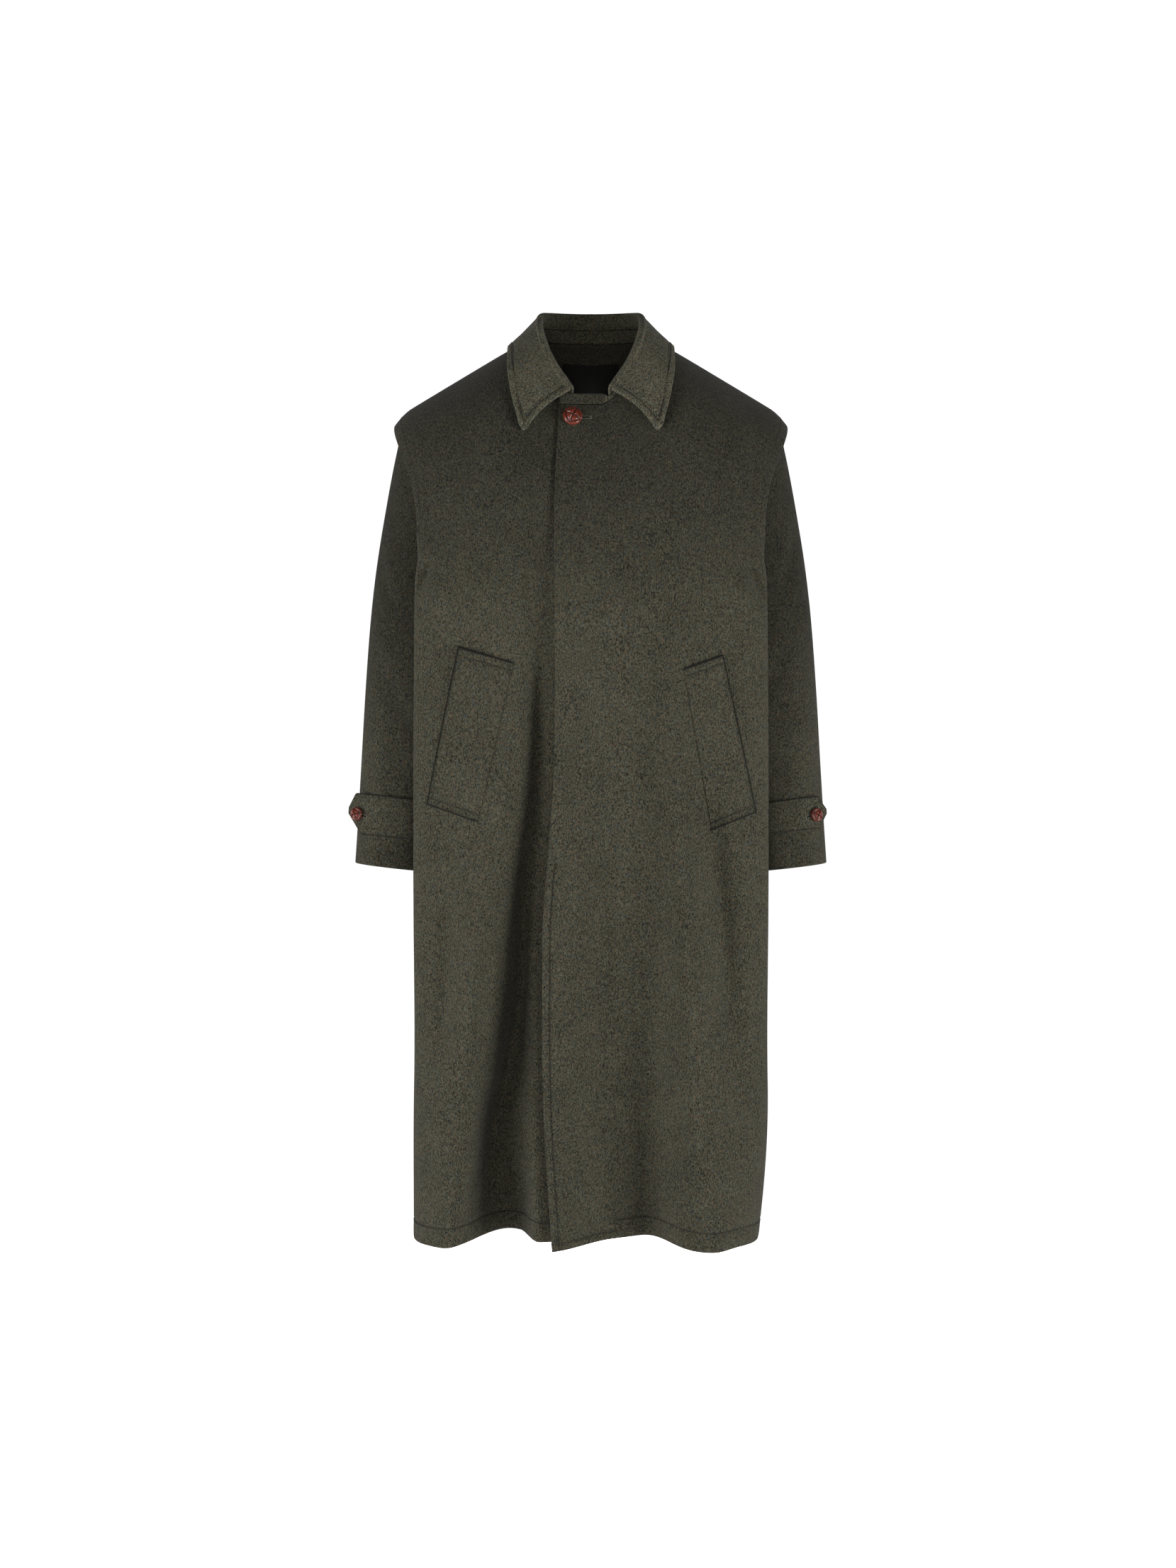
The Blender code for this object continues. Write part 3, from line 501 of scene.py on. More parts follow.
def cloth_shell(
    name, grid, thickness, wall_side, material, closed=False, edges=0.0, painted_shade=0.0, painted_inner_light=0.0
):
    """A closed thin shell on a grid of points, its edges rounded over.

    wall_side is -1 where the grid is the outer face, 1 the inner face and 0 the middle. Painted shade
    darkens the colour, by edges along the edges and by the next argument at each point of the grid, and
    the last argument paints the inner face lighter, as painted light.
    """
    quads = grid_quads(grid, closed)
    points = grid.reshape(-1, 3)
    used = np.unique(quads)
    sides = np.sort(np.concatenate([quads[:, [k, (k + 1) % 4]] for k in range(4)]), axis=1)
    pairs, uses = np.unique(sides, axis=0, return_counts=True)
    border = np.unique(pairs[uses == 1])
    edge = kdtree.KDTree(len(border))
    for number in border:
        edge.insert(points[number], int(number))
    edge.balance()
    from_edge = np.array([edge.find(points[number])[2] for number in used])
    profile = np.sqrt(1 - (1 - np.clip(from_edge / (thickness / 2), 0, 1)) ** 2)
    normals = grid_normals(grid, closed).reshape(-1, 3)[used]
    centre = points[used] + normals * wall_side * thickness / 2
    half = normals * (profile * thickness / 2)[:, None]
    inside = ~np.isin(used, border)
    outer_number = np.full(len(points), -1)
    outer_number[used] = np.arange(len(used))
    inner_number = outer_number.copy()
    inner_number[used[inside]] = len(used) + np.arange(inside.sum())
    vertices = np.concatenate([centre + half, (centre - half)[inside]])
    faces = np.concatenate([outer_number[quads], inner_number[quads][:, ::-1]])
    piece = new_piece(name, vertices, faces, material)
    # painted shade at each point and along the edges, and painted light on the inner face
    shade = np.broadcast_to(painted_shade, grid.shape[:2]).reshape(-1)[used]
    shade = np.maximum(shade, edges * (1 - np.clip(from_edge / EDGE_SHADE, 0, 1)))
    note_points(piece, "painted_shade", np.concatenate([shade, shade[inside] - painted_inner_light]))
    return piece


def note_points(piece, name, values):
    """Keeps one number for each point of a piece, for its material to read."""
    attribute = piece.data.attributes.new(name, "FLOAT", "POINT")
    attribute.data.foreach_set("value", values.astype(np.float32))


def new_piece(name, vertices, faces, material):
    """A smooth mesh object with one material."""
    mesh = bpy.data.meshes.new(name)
    mesh.from_pydata(np.asarray(vertices).tolist(), [], [list(map(int, face)) for face in faces])
    mesh.shade_smooth()
    mesh.materials.append(material)
    piece = bpy.data.objects.new(name, mesh)
    bpy.context.scene.collection.objects.link(piece)
    return piece


def belongs(piece, slot, *nodes):
    """Makes a piece move with the coat and stand for its solids, which are hidden; slot is not used."""
    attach(piece, "root")
    if nodes:
        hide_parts(*nodes)


class Shade:
    """A socket of a material. Arithmetic on it adds Math nodes to the material."""

    def __init__(self, tree, socket=None):
        self.tree = tree
        self.socket = socket

    def node(self, kind, settings=None, sockets=None, output=0):
        """One output of a new node: its settings first, then values or links for its sockets."""
        node = self.tree.nodes.new(kind)
        for name, value in (settings or {}).items():
            setattr(node, name, value)
        for name, value in (sockets or {}).items():
            if isinstance(value, Shade):
                self.tree.links.new(value.socket, node.inputs[name])
            else:
                node.inputs[name].default_value = value
        return Shade(self.tree, node.outputs[output])

    def maths(self, operation, first, second):
        """What a Math node makes of two shades or numbers."""
        return self.node("ShaderNodeMath", {"operation": operation}, {0: first, 1: second})

    def __add__(self, other):
        return self.maths("ADD", self, other)

    __radd__ = __add__

    def __sub__(self, other):
        return self.maths("SUBTRACT", self, other)

    def __rsub__(self, other):
        return self.maths("SUBTRACT", other, self)

    def __mul__(self, other):
        return self.maths("MULTIPLY", self, other)

    __rmul__ = __mul__

    def spread(self, low, high):
        """0 at low, 1 at high, held at both ends."""
        return self.node("ShaderNodeMapRange", None, {"Value": self, "From Min": low, "From Max": high})

    def noise(self, scale, detail=2.0, roughness=0.5):
        """Soft noise read at this place, with a scale in cells for each metre."""
        sockets = {"Vector": self, "Scale": scale, "Detail": detail, "Roughness": roughness}
        return self.node("ShaderNodeTexNoise", None, sockets)

    def moved(self, offset=(0, 0, 0), scale=(1, 1, 1)):
        """This place, stretched and moved."""
        return self.node("ShaderNodeMapping", None, {"Vector": self, "Location": offset, "Scale": scale})

    def blend(self, first, second):
        """A colour between two, by this share."""
        sockets = {"Factor": self, 6: first, 7: second}
        return self.node("ShaderNodeMix", {"data_type": "RGBA"}, sockets, 2)

    def scaled(self, factor):
        """This colour, lighter or darker."""
        return self.node("ShaderNodeVectorMath", {"operation": "SCALE"}, {0: self, "Scale": factor})


def new_material(name, **constants):
    """A material, its shader with constant sockets set, and the place on the object as a shade."""
    material = bpy.data.materials.new(name)
    material.use_nodes = True
    shader = material.node_tree.nodes["Principled BSDF"]
    for socket, value in constants.items():
        shader.inputs[socket.replace("_", " ")].default_value = value
    place = Shade(material.node_tree).node("ShaderNodeTexCoord", output="Object")
    return material, shader, place


def feed(shader, socket, shade):
    """Links a shade into one of the shader's sockets."""
    shade.tree.links.new(shade.socket, shader.inputs[socket])


OLIVE = (0.068, 0.066, 0.043, 1.0)
BROWN = (0.090, 0.062, 0.039, 1.0)
SLATE = (0.054, 0.062, 0.058, 1.0)
BROWN_HUES, SLATE_HUES = (0.52, 0.70), (0.46, 0.32)  # values of the noise where each colour sets in
FLECKS, FINE_FLECKS, HUES = 620.0, 1488.0, 465.0  # cells a metre of the melange
PATCHES, CLOUDS = 26.0, 6.0  # cells a metre of the uneven nap
FLECK_TONE, FINE_TONE, PATCH_TONE, CLOUD_TONE = 5.3, 2.1, 0.40, 0.25  # how far each changes the tone
FLECK_RELIEF, FINE_RELIEF, NAP_HEIGHT = 0.7, 0.3, 0.0010
NAP_STRETCH = 0.62  # the nap lies down the cloth
PAINTED_SHADE_RISE = 0.20  # height over which the painted shade fades in


def wool(name, lightness, shag, painted_shade_top=0.0, painted_shade_from=0.0):
    """Fulled melange wool: olive fibres flecked with brown and slate, under a short matt napped face.

    Painted shade: above a height the colour is darkened, standing in for shade on the upper coat; the
    last two arguments say how much darker and from what height up.
    """
    constants = {"Roughness": 0.92, "Sheen_Weight": 0.10, "Sheen_Roughness": 0.55, "Specular_IOR_Level": 0.2}
    material, shader, place = new_material(name, **constants)
    fibre = place.moved(scale=(1, 1, NAP_STRETCH))
    fleck = fibre.noise(FLECKS, detail=3.0, roughness=0.65)
    fine = fibre.moved((3.1, 1.7, 0.4)).noise(FINE_FLECKS, detail=1.0)
    hue = fibre.moved((0.6, 5.2, 2.3)).noise(HUES, roughness=0.6)
    patch = place.moved((7.0, 0.3, 1.9)).noise(PATCHES)
    cloud = place.moved((1.2, 4.4, 0.8)).noise(CLOUDS, detail=1.0)
    colour = hue.spread(*BROWN_HUES).blend(OLIVE, BROWN)
    colour = hue.spread(*SLATE_HUES).blend(colour, SLATE)
    tone = 1 + FLECK_TONE * (fleck - 0.5) + FINE_TONE * (fine - 0.5)
    tone = tone + PATCH_TONE * (patch - 0.5) + CLOUD_TONE * (cloud - 0.5)
    level = place.node("ShaderNodeSeparateXYZ", None, {"Vector": place}, "Z")
    # painted shade: the colour is darker above a height
    lightness_with_painted_shade = lightness * (1 - painted_shade_top * level.spread(painted_shade_from, painted_shade_from + PAINTED_SHADE_RISE))
    # painted shade and light noted on the points: shadow at edges, shade in stitch grooves, light inside
    edge = place.node("ShaderNodeAttribute", {"attribute_name": "painted_shade"}, None, "Fac")
    feed(shader, "Base Color", colour.scaled(tone * lightness_with_painted_shade * (1 - edge)))
    height = FLECK_RELIEF * fleck + FINE_RELIEF * fine
    relief = {"Strength": shag, "Distance": NAP_HEIGHT, "Height": height}
    bump = place.node("ShaderNodeBump", None, relief)
    feed(shader, "Normal", bump)
    return material


# Painted shade: the body's wool is darkened above a height, for the shade on the chest and shoulders
BODY_WOOL = wool("body_wool", lightness=1.12, shag=0.45, painted_shade_top=0.36, painted_shade_from=-0.37)

left_share = column_shares("front_left", (STITCH_IN,))
right_share = column_shares("front_right", ())
back_share = column_shares("back", None)
LAP_STITCH_Z = -0.668  # the front edge is stitched below the covered buttons
HEM_STEP_X = 0.034  # near the front edge the hem is stitched close to its edge
WING_DRAWN = 0.35  # the wing's stitches draw it in less than others


def stitched_panel(grid, columns, hem_line):
    """A panel with its wing edge and hem drawn in along their lines of stitches."""
    up = way_along(grid, 0)
    across = way_along(grid, 1)
    from_wing = across[:, columns - 1 : columns] - across
    on_wing = (np.arange(len(grid)) > len(SKIRT))[:, None] & (np.arange(grid.shape[1]) < columns)
    lift = stitched_edge(from_wing, STITCH_IN, WING_DRAWN * on_wing)
    return lift + stitched_edge(up, hem_line)


left = half_panel("front_left", 1, left_share)
right = half_panel("front_right", -1, right_share)
back_left = half_panel("back", 1, back_share)
back_right = half_panel("back", -1, back_share)

hem_line = np.where(left[0, :, 0] < HEM_STEP_X, STITCH_IN, HEM_STITCH)
left_lift = stitched_panel(left, len(left_share), hem_line)
left_lift += stitched_edge(way_along(left, 1), STITCH_IN, left[:, :1, 2] < LAP_STITCH_Z)
left = lifted(left, left_lift)
right_lift = stitched_panel(right, len(right_share), HEM_STITCH)[:, ::-1]
right = lifted(right[:, ::-1], right_lift)
half_lift = stitched_panel(back_left, len(back_share), HEM_STITCH)
back_lift = np.concatenate([half_lift[:, :0:-1], half_lift], axis=1)[:, ::-1]
back = lifted(np.concatenate([back_right[:, :0:-1], back_left], axis=1)[:, ::-1], back_lift)

INSIDE_PAINTED_LIGHT = 0.9  # painted light: the inner faces, which lie in shade, are made lighter
PANEL_GROOVE = 0.6  # the panels' lines of stitches get less painted shade than small pieces' lines
# Grid, lift, size and area of the cut
PANELS = {
    "front_left": (left, left_lift, (0.44, 1.20), 0.46),
    "front_right": (right, right_lift, (0.43, 1.20), 0.45),
    "back": (back, back_lift, (0.80, 1.20), 0.86),
}
for name, (grid, lift, cut, cut_area) in PANELS.items():
    # painted shade in the stitch grooves and painted light on the inner faces
    look = {"painted_shade": PANEL_GROOVE * in_groove(lift), "painted_inner_light": INSIDE_PAINTED_LIGHT}
    panel_cloth = cloth_shell(name + "_cloth", grid, CLOTH, -1, BODY_WOOL, **look)
    belongs(panel_cloth, "fulled_wool", name)


# Sleeves
# Straight tubes of the same wool, each sewn along one seam and set in under the free edge of its wing.
# They hang against the sides, in a hollow of the body, and are plain at the cuff.

# From the head to the cuff: places of the outer and the inner side, and half the depth
SLEEVE = table(
    "outer_x outer_z inner_x inner_z half_depth",
    (0.2330, -0.0790, 0.1640, -0.2950, 0.0860),
    (0.2480, -0.1000, 0.1725, -0.3080, 0.0750),
    (0.2585, -0.1400, 0.1760, -0.3250, 0.0690),
    (0.2712, -0.2070, 0.1790, -0.3500, 0.0660),
    (0.2834, -0.2824, 0.1830, -0.3850, 0.0645),
    (0.2919, -0.3576, 0.1880, -0.4250, 0.0630),
    (0.2987, -0.4500, 0.1950, -0.4880, 0.0600),
    (0.3045, -0.5500, 0.2030, -0.5720, 0.0570),
    (0.3090, -0.6250, 0.2090, -0.6390, 0.0560),
    (0.3122, -0.6740, 0.2135, -0.6855, 0.0560),
)
SLEEVE_PLACES = np.linspace(0, 1, len(SLEEVE["outer_x"]))
SLEEVE_BOXINESS = 2.4
SLEEVE_CLEAR = 0.0060  # from the body's side
WING_CLEAR = {"front": 0.0005, "back": 0.0014}  # under the wings
WING_LEDGE = 0.004  # how far past a wing's edge it is still held under
ARMHOLE_CLEAR = 0.014  # how far above the armhole's edge it is still held off the side
SLEEVE_BACK = 0.004  # how much further back the cuff hangs
SLEEVE_LENGTH = 0.600
SLEEVE_SIDES = 104
DEGREE_WAY = 0.001  # of cloth, about, for a turn of one degree
# Creases round the arm: turn from the outer side in degrees, distance from the head, depth, half width
SLEEVE_CREASES = {
    "left": (
        (20.0, 0.20, 95.0, 0.29, 0.0030, 13.0),
        (15.0, 0.30, 80.0, 0.36, -0.0020, 12.0),
        (60.0, 0.33, 130.0, 0.40, 0.0026, 11.0),
        (70.0, 0.38, 92.0, 0.55, -0.0022, 12.0),
        (20.0, 0.42, 48.0, 0.58, 0.0022, 12.0),
        (230.0, 0.24, 300.0, 0.33, 0.0030, 13.0),
        (250.0, 0.36, 330.0, 0.42, 0.0024, 12.0),
    ),
    "right": (
        (14.0, 0.24, 84.0, 0.31, 0.0032, 12.0),
        (30.0, 0.33, 100.0, 0.37, -0.0022, 12.0),
        (44.0, 0.36, 120.0, 0.43, 0.0028, 11.0),
        (62.0, 0.40, 84.0, 0.57, -0.0020, 13.0),
        (28.0, 0.45, 40.0, 0.58, 0.0024, 11.0),
        (236.0, 0.22, 310.0, 0.30, 0.0028, 13.0),
        (244.0, 0.38, 322.0, 0.45, 0.0026, 12.0),
    ),
}


def sleeve_row(t):
    """One row of the sleeve table, read between its lines; t is 0 at the head and 1 at the cuff."""
    return {name: float(curve(t, SLEEVE_PLACES, column)) for name, column in SLEEVE.items()}


def under_panel(panel, x, z, gap):
    """The largest depth that stays under a panel's wall."""
    d, slope_x, slope_z = panel_slopes(panel, x, z)
    return np.maximum(d - (CLOTH + gap) * np.sqrt(1 + slope_x**2 + slope_z**2), 0.0)


def sleeve_point(t, angle):
    """A place on the left sleeve's outer face; angle 0 is outermost, a quarter turn is the front."""
    row = sleeve_row(t)
    c, s = np.cos(angle), np.sin(angle)
    power = 2 / SLEEVE_BOXINESS
    reach, deep = np.sign(c) * np.abs(c) ** power, np.sign(s) * np.abs(s) ** power
    x = (row["outer_x"] + row["inner_x"]) / 2 + reach * (row["outer_x"] - row["inner_x"]) / 2
    z = (row["outer_z"] + row["inner_z"]) / 2 + reach * (row["outer_z"] - row["inner_z"]) / 2
    y = SLEEVE_BACK * t - deep * row["half_depth"]
    for panel, here in (("front_left", y < 0), ("back", y >= 0)):
        under_wing = here & (z > CHEST_Z) & (x < curve(z, WING["z"], WING["x"]) + WING_LEDGE)
        limit = under_panel(panel, x, z, WING_CLEAR[FACE[panel]])
        y = np.where(under_wing, np.sign(y) * np.minimum(np.abs(y), limit), y)
        corner = CORNER_DEPTH * curve(z, BODY["z"], BODY[FACE[panel]])
        beside = side_x(y, z, FACE[panel]) + SLEEVE_CLEAR
        past_edge = here & (z < armhole_z(np.abs(y) / corner) + ARMHOLE_CLEAR)
        x = np.where(past_edge, np.maximum(x, beside), x)
    return np.stack([x, y, z], axis=-1)


def sleeve_grid(side):
    """Rings of the left sleeve from head to cuff, with the creases of one side."""
    angles = np.linspace(0, 2 * math.pi, SLEEVE_SIDES, endpoint=False)
    along = places(SLEEVE_LENGTH, STEP)
    grid = np.array([sleeve_point(t, angles) for t in along])
    turn, way = np.meshgrid(np.degrees(angles), along * SLEEVE_LENGTH)
    creases = np.array(SLEEVE_CREASES[side]) * (DEGREE_WAY, 1, DEGREE_WAY, 1, 1, DEGREE_WAY)
    return lifted(grid, -crease_depth(creases, turn * DEGREE_WAY, way), closed=True)


# Painted shade: a darker copy of the body's wool, darker still above a height, for the shade under the wings
SLEEVE_WOOL = wool("sleeve_wool", lightness=0.96, shag=0.45, painted_shade_top=0.40, painted_shade_from=-0.54)
sleeve_left_grid = sleeve_grid("left")
sleeve_right_grid = (sleeve_grid("right") * MIRROR)[:, ::-1]
for name, grid in (("sleeve_left", sleeve_left_grid), ("sleeve_right", sleeve_right_grid)):
    sleeve = cloth_shell(name + "_cloth", grid, CLOTH, -1, SLEEVE_WOOL, closed=True)
    belongs(sleeve, "fulled_wool", name)


# Collar and its stand
# A turned-down collar of two layers on a band sewn round the neckline; both are painted lighter than the
# body's wool, as painted light. The band runs on past the collar's end to the corner of the left front.

COLLAR_CLOTH, STAND_CLOTH = 0.004, 0.003
STAND_FOOT, SEAM_HALF = 0.0006, 0.0003
STAND_SHARE = 0.5  # of the way from the neck seam to the fold
STAND_TOP_Z, STAND_LEAN = -0.0675, 0.10  # of its front end
STAND_STEP = 0.007  # from the collar's end to the first column of that end
# By degrees from the front centre: the fold's rise and lean from the neck seam, the radius of its roll,
# the leaf's edge, and how far the leaf bows along its face and swells out of it
COLLAR = table(
    "angle rise lean roll edge_x edge_y edge_z bow crest",
    (17.0, 0.0125, 0.000, 0.0060, 0.0865, -0.1290, -0.1180, 0.008, 0.003),
    (27.0, 0.0170, -0.008, 0.0060, 0.0950, -0.1250, -0.0990, 0.005, 0.003),
    (50.0, 0.0165, -0.012, 0.0050, 0.1070, -0.0980, -0.0440, 0.000, 0.003),
    (70.0, 0.0215, -0.011, 0.0035, 0.1085, -0.0560, -0.0060, 0.000, 0.0015),
    (90.0, 0.0245, -0.0135, 0.0030, 0.1085, -0.0120, 0.0062, 0.000, 0.000),
    (115.0, 0.0325, -0.009, 0.0030, 0.0980, 0.0440, 0.0085, 0.000, 0.000),
    (135.0, 0.0360, -0.001, 0.0030, 0.0820, 0.0800, 0.0050, 0.000, 0.003),
    (180.0, 0.0380, 0.004, 0.0030, 0.0000, 0.1100, 0.0060, 0.000, 0.003),
)
NECK_SAMPLES, NECK_POINTS = 400, 60
COLLAR_STEP, BAND_STEP = 0.0034, 0.003
STAND_UP_STEP, STAND_ROUND_STEP = 0.0025, 0.004
TIP_ROUND = 0.016  # from the leaf's corner to where its rounding starts
TIP_WAY = 0.0021  # along the leaf's edge, for each degree round the neck
TIP_DROP, TIP_DROP_WAY = 0.0100, 0.024  # of the leaf's corner, before it is rounded off
STRIP_PAINTED_SHADE = 0.60  # painted shade: the stand's front end is made as dark as the chest's painted shade
# Painted light: lighter copies of the body's wool, for the up-turned collar and the stand in the neck's
# shade
COLLAR_WOOL = wool("collar_wool", lightness=2.05, shag=0.60)
STAND_WOOL = wool("stand_wool", lightness=1.90, shag=0.50)


def neck_point(panel, angle):
    """A place on the neck edge, as if on the left; angle 0 is the front centre, a half turn the back."""
    ground = panel if angle <= math.pi / 2 else "back"
    side = -1 if panel == "front_right" else 1
    edge_x = np.linspace(NECK_START[ground], NECK_HALF, NECK_POINTS)
    edge_z = neck_z(FACE[ground], edge_x)
    edge_y = depth(ground, side * edge_x, edge_z) * way_out(ground)
    x = NECK_HALF * math.sin(angle)
    return np.array([x, np.interp(x, edge_x, edge_y), np.interp(x, edge_x, edge_z)])


def collar_section(panel, degrees):
    """Neck seam, fold, outward way and the table's row of one section on one side, as if on the left."""
    row = {name: float(curve(degrees, COLLAR["angle"], column)) for name, column in COLLAR.items()}
    angle = math.radians(degrees)
    neck = neck_point(panel, angle)
    out = np.array([math.sin(angle), -math.cos(angle), 0.0])
    fold = neck + out * row["lean"] + np.array([0, 0, row["rise"]])
    return neck, fold, out, row


BAND_HEIGHT, STAND_HEIGHT, LEAF_LENGTH = 0.018, 0.014, 0.070
BAND = places(BAND_HEIGHT, BAND_STEP, (), None)
ROLL = np.linspace(0, math.pi, 11)[1:]
LEAF = places(LEAF_LENGTH, COLLAR_STEP, None, (STITCH_IN,))[1:]


def collar_line(panel, degrees):
    """One section's points: up the inside, over the fold and down the leaf."""
    neck, fold, out, row = collar_section(panel, degrees)
    seam = STAND_SHARE + SEAM_HALF / np.linalg.norm(fold - neck)
    up = np.array([0, 0, 1.0])
    points = [neck + (fold - neck) * (seam + (1 - seam) * t) for t in BAND]
    for turn in ROLL:
        points.append(fold + row["roll"] * (out * (1 - math.cos(turn)) + up * math.sin(turn)))
    start = points[-1]
    from_tip = TIP_WAY * (degrees - COLLAR["angle"][0])
    corner_drop = TIP_DROP * (1 - ease(from_tip, 0, TIP_DROP_WAY))
    fall = np.array([row["edge_x"], row["edge_y"], row["edge_z"] - corner_drop]) - start
    across = np.cross(fall, np.cross(up, out))
    across = unit(across) * np.sign(across @ out)
    along = np.cross(across, fall)
    along = unit(along) * np.sign(along[2])
    to_round = max(TIP_ROUND - from_tip, 0)
    cut_off = TIP_ROUND - math.sqrt(TIP_ROUND**2 - to_round**2)
    for t in LEAF * (1 - cut_off / np.linalg.norm(fall)):
        swell = (across * row["crest"] + along * row["bow"]) * 4 * t * (1 - t)
        points.append(start + fall * t + swell)
    return np.array(points)


def round_the_neck(line, shares):
    """Sections from the left front end round the back to the right front end, at shares of the half."""
    angles = np.linspace(COLLAR["angle"][0], 180, NECK_SAMPLES)
    neck = np.array([neck_point("front_left", math.radians(a)) for a in angles])
    way = way_along(neck, 0)
    angles = np.interp(np.asarray(shares) * way[-1], way, angles)
    right_half = [line("front_right", a) * MIRROR for a in angles[:-1]]
    left_half = [line("front_left", a) for a in angles]
    return np.array(left_half + right_half[::-1])


STAND_ROWS = places(STAND_HEIGHT, STAND_UP_STEP)


def stand_line(panel, degrees):
    """One section of the stand, from the neck seam up to the seam under the collar."""
    neck, fold = collar_section(panel, degrees)[:2]
    height = np.linalg.norm(fold - neck)
    foot, seam = STAND_FOOT / height, STAND_SHARE - SEAM_HALF / height
    return np.array([neck + (fold - neck) * (foot + (seam - foot) * t) for t in STAND_ROWS])


def stand_end():
    """The stand's front end, along the left front's neck edge past the collar's end."""
    first_x = NECK_HALF * math.sin(math.radians(COLLAR["angle"][0])) - STAND_STEP
    length = first_x - NECK_START["front_left"]
    columns = []
    for x in first_x - length * places(length, STAND_UP_STEP, None, ()):
        foot = panel_point("front_left", x, neck_z("front", x))
        rise = STAND_FOOT + (STAND_TOP_Z - foot[2] - STAND_FOOT) * STAND_ROWS
        columns.append(foot + rise[:, None] * (0, STAND_LEAN, 1))
    return np.array(columns)


NECK_WAY = 0.235  # half of the neckline, from the collar's end to the back
END_STITCH = 0.008  # along the neckline, from the collar's end to its line of stitches
LINES_MEET = 0.6  # of the way in to a line of stitches, where the line across it stops
collar_grid = round_the_neck(collar_line, places(NECK_WAY, COLLAR_STEP, (END_STITCH,), None))
leaf = np.arange(collar_grid.shape[1]) >= len(BAND) + len(ROLL)
from_edge = way_along(collar_grid[:, ::-1], 1)[:, ::-1]
rounds = way_along(collar_grid[:, :1], 0)
from_end = np.minimum(rounds, rounds[-1] - rounds)
collar_lift = stitched_edge(from_edge, STITCH_IN, from_end > END_STITCH * LINES_MEET)
collar_lift += stitched_edge(from_end, END_STITCH, leaf & (from_edge > STITCH_IN * LINES_MEET))
collar_grid = lifted(collar_grid, collar_lift)
# painted shade along the collar's lines of stitches
collar_painted_shade = in_groove(collar_lift)
collar = cloth_shell("collar_cloth", collar_grid, COLLAR_CLOTH, 0, COLLAR_WOOL, painted_shade=collar_painted_shade)
belongs(collar, "fulled_wool", "collar")

strip = stand_end()[::-1]
stand_round = round_the_neck(stand_line, places(NECK_WAY, STAND_ROUND_STEP, None, None))
stand_grid = np.concatenate([strip, stand_round])
# painted shade on the stand's front end
stand_painted_shade = np.where(np.arange(len(stand_grid)) < len(strip), STRIP_PAINTED_SHADE, 0.0)[:, None]
stand = cloth_shell("collar_stand_cloth", stand_grid, STAND_CLOTH, 0, STAND_WOOL, painted_shade=stand_painted_shade)
belongs(stand, "fulled_wool", "collar_stand")


# Pocket welts
# A long slanting flap of doubled wool on each front, sewn down along its inner edge and across both ends;
# the outer long edge is open for the hand.

WELT_CLOTH = 0.0026
WELT_CLEAR = 0.0003
WELT_WIDTH, WELT_LENGTH = 0.070, 0.212
WELT_OPEN, WELT_OPEN_REACH = 0.0018, 0.016  # the open edge stands off the front
WELT_SUNK, WELT_SUNK_REACH = 0.0014, 0.008  # the sewn edge is drawn into it
WELT_PAINTED_SHADOW, WELT_SHADOW_WAY = 0.9, (0.0008, 0.0042)  # painted shadow at the open edge and both ends, and how far in it starts and stops fading
WELT_ACROSS_STEP, WELT_DOWN_STEP = 0.0035, 0.0045
# Corners on the fronts: top outer, top inner, bottom inner, bottom outer
POCKETS = {
    "pocket_right": table(
        "x z", (-0.1694, -0.3945), (-0.0986, -0.4153), (-0.1442, -0.6189), (-0.2099, -0.5962)
    ),
    "pocket_left": table(
        "x z", (0.1682, -0.4050), (0.1175, -0.4231), (0.1537, -0.6297), (0.2112, -0.6062)
    ),
}
welt_across = places(WELT_WIDTH, WELT_ACROSS_STEP)
welt_down = places(WELT_LENGTH, WELT_DOWN_STEP, (STITCH_IN,), (STITCH_IN,))
welt_grids = {}
for name, corners in POCKETS.items():
    panel = "front_left" if name == "pocket_left" else "front_right"
    u, v = np.meshgrid(welt_across if panel == "front_left" else welt_across[::-1], welt_down)
    weights = ((1 - u) * (1 - v), u * (1 - v), u * v, (1 - u) * v)
    x = sum(w * c for w, c in zip(weights, corners["x"]))
    z = sum(w * c for w, c in zip(weights, corners["z"]))
    off = WELT_OPEN * (1 - ease(u * WELT_WIDTH, 0, WELT_OPEN_REACH)) * np.sin(math.pi * v) ** 0.5
    off -= WELT_SUNK * (1 - ease((1 - u) * WELT_WIDTH, 0, WELT_SUNK_REACH))
    grid = panel_point(panel, x, z, WELT_CLEAR + off[..., None])
    down = way_along(grid, 0)
    lift = stitched_edge(down, STITCH_IN) + stitched_edge(down[-1:] - down, STITCH_IN)
    welt_grids[name] = lifted(grid, lift)
    # painted shadow along the open edge and both ends, and painted shade in the stitch grooves
    from_open = np.minimum(u * WELT_WIDTH, np.minimum(v, 1 - v) * WELT_LENGTH)
    painted_shade = np.maximum(in_groove(lift), WELT_PAINTED_SHADOW * (1 - ease(from_open, *WELT_SHADOW_WAY)))
    welt = cloth_shell(name + "_cloth", welt_grids[name], WELT_CLOTH, 1, BODY_WOOL, painted_shade=painted_shade)
    belongs(welt, "fulled_wool", name)


# Cuff straps
# A pointed tab of doubled wool on each cuff, sewn in at the sleeve's inner side. It lies round the front of
# the sleeve, stands off it towards the outside and is buttoned at its point.

STRAP_CLOTH, STRAP_CLEAR = 0.0032, 0.0004
STRAP_TIP = 0.14  # the blunt tip's share of the width
STRAP_START, STRAP_LEAVE = 130.0, 62.0  # degrees round the sleeve, where it is sewn in and leaves it
STRAP_STEP, POINT_STEP = 0.003, 0.0018
STRAP_WIDTH, STRAP_ROUND = 0.052, 0.085  # the length is what lies on the sleeve
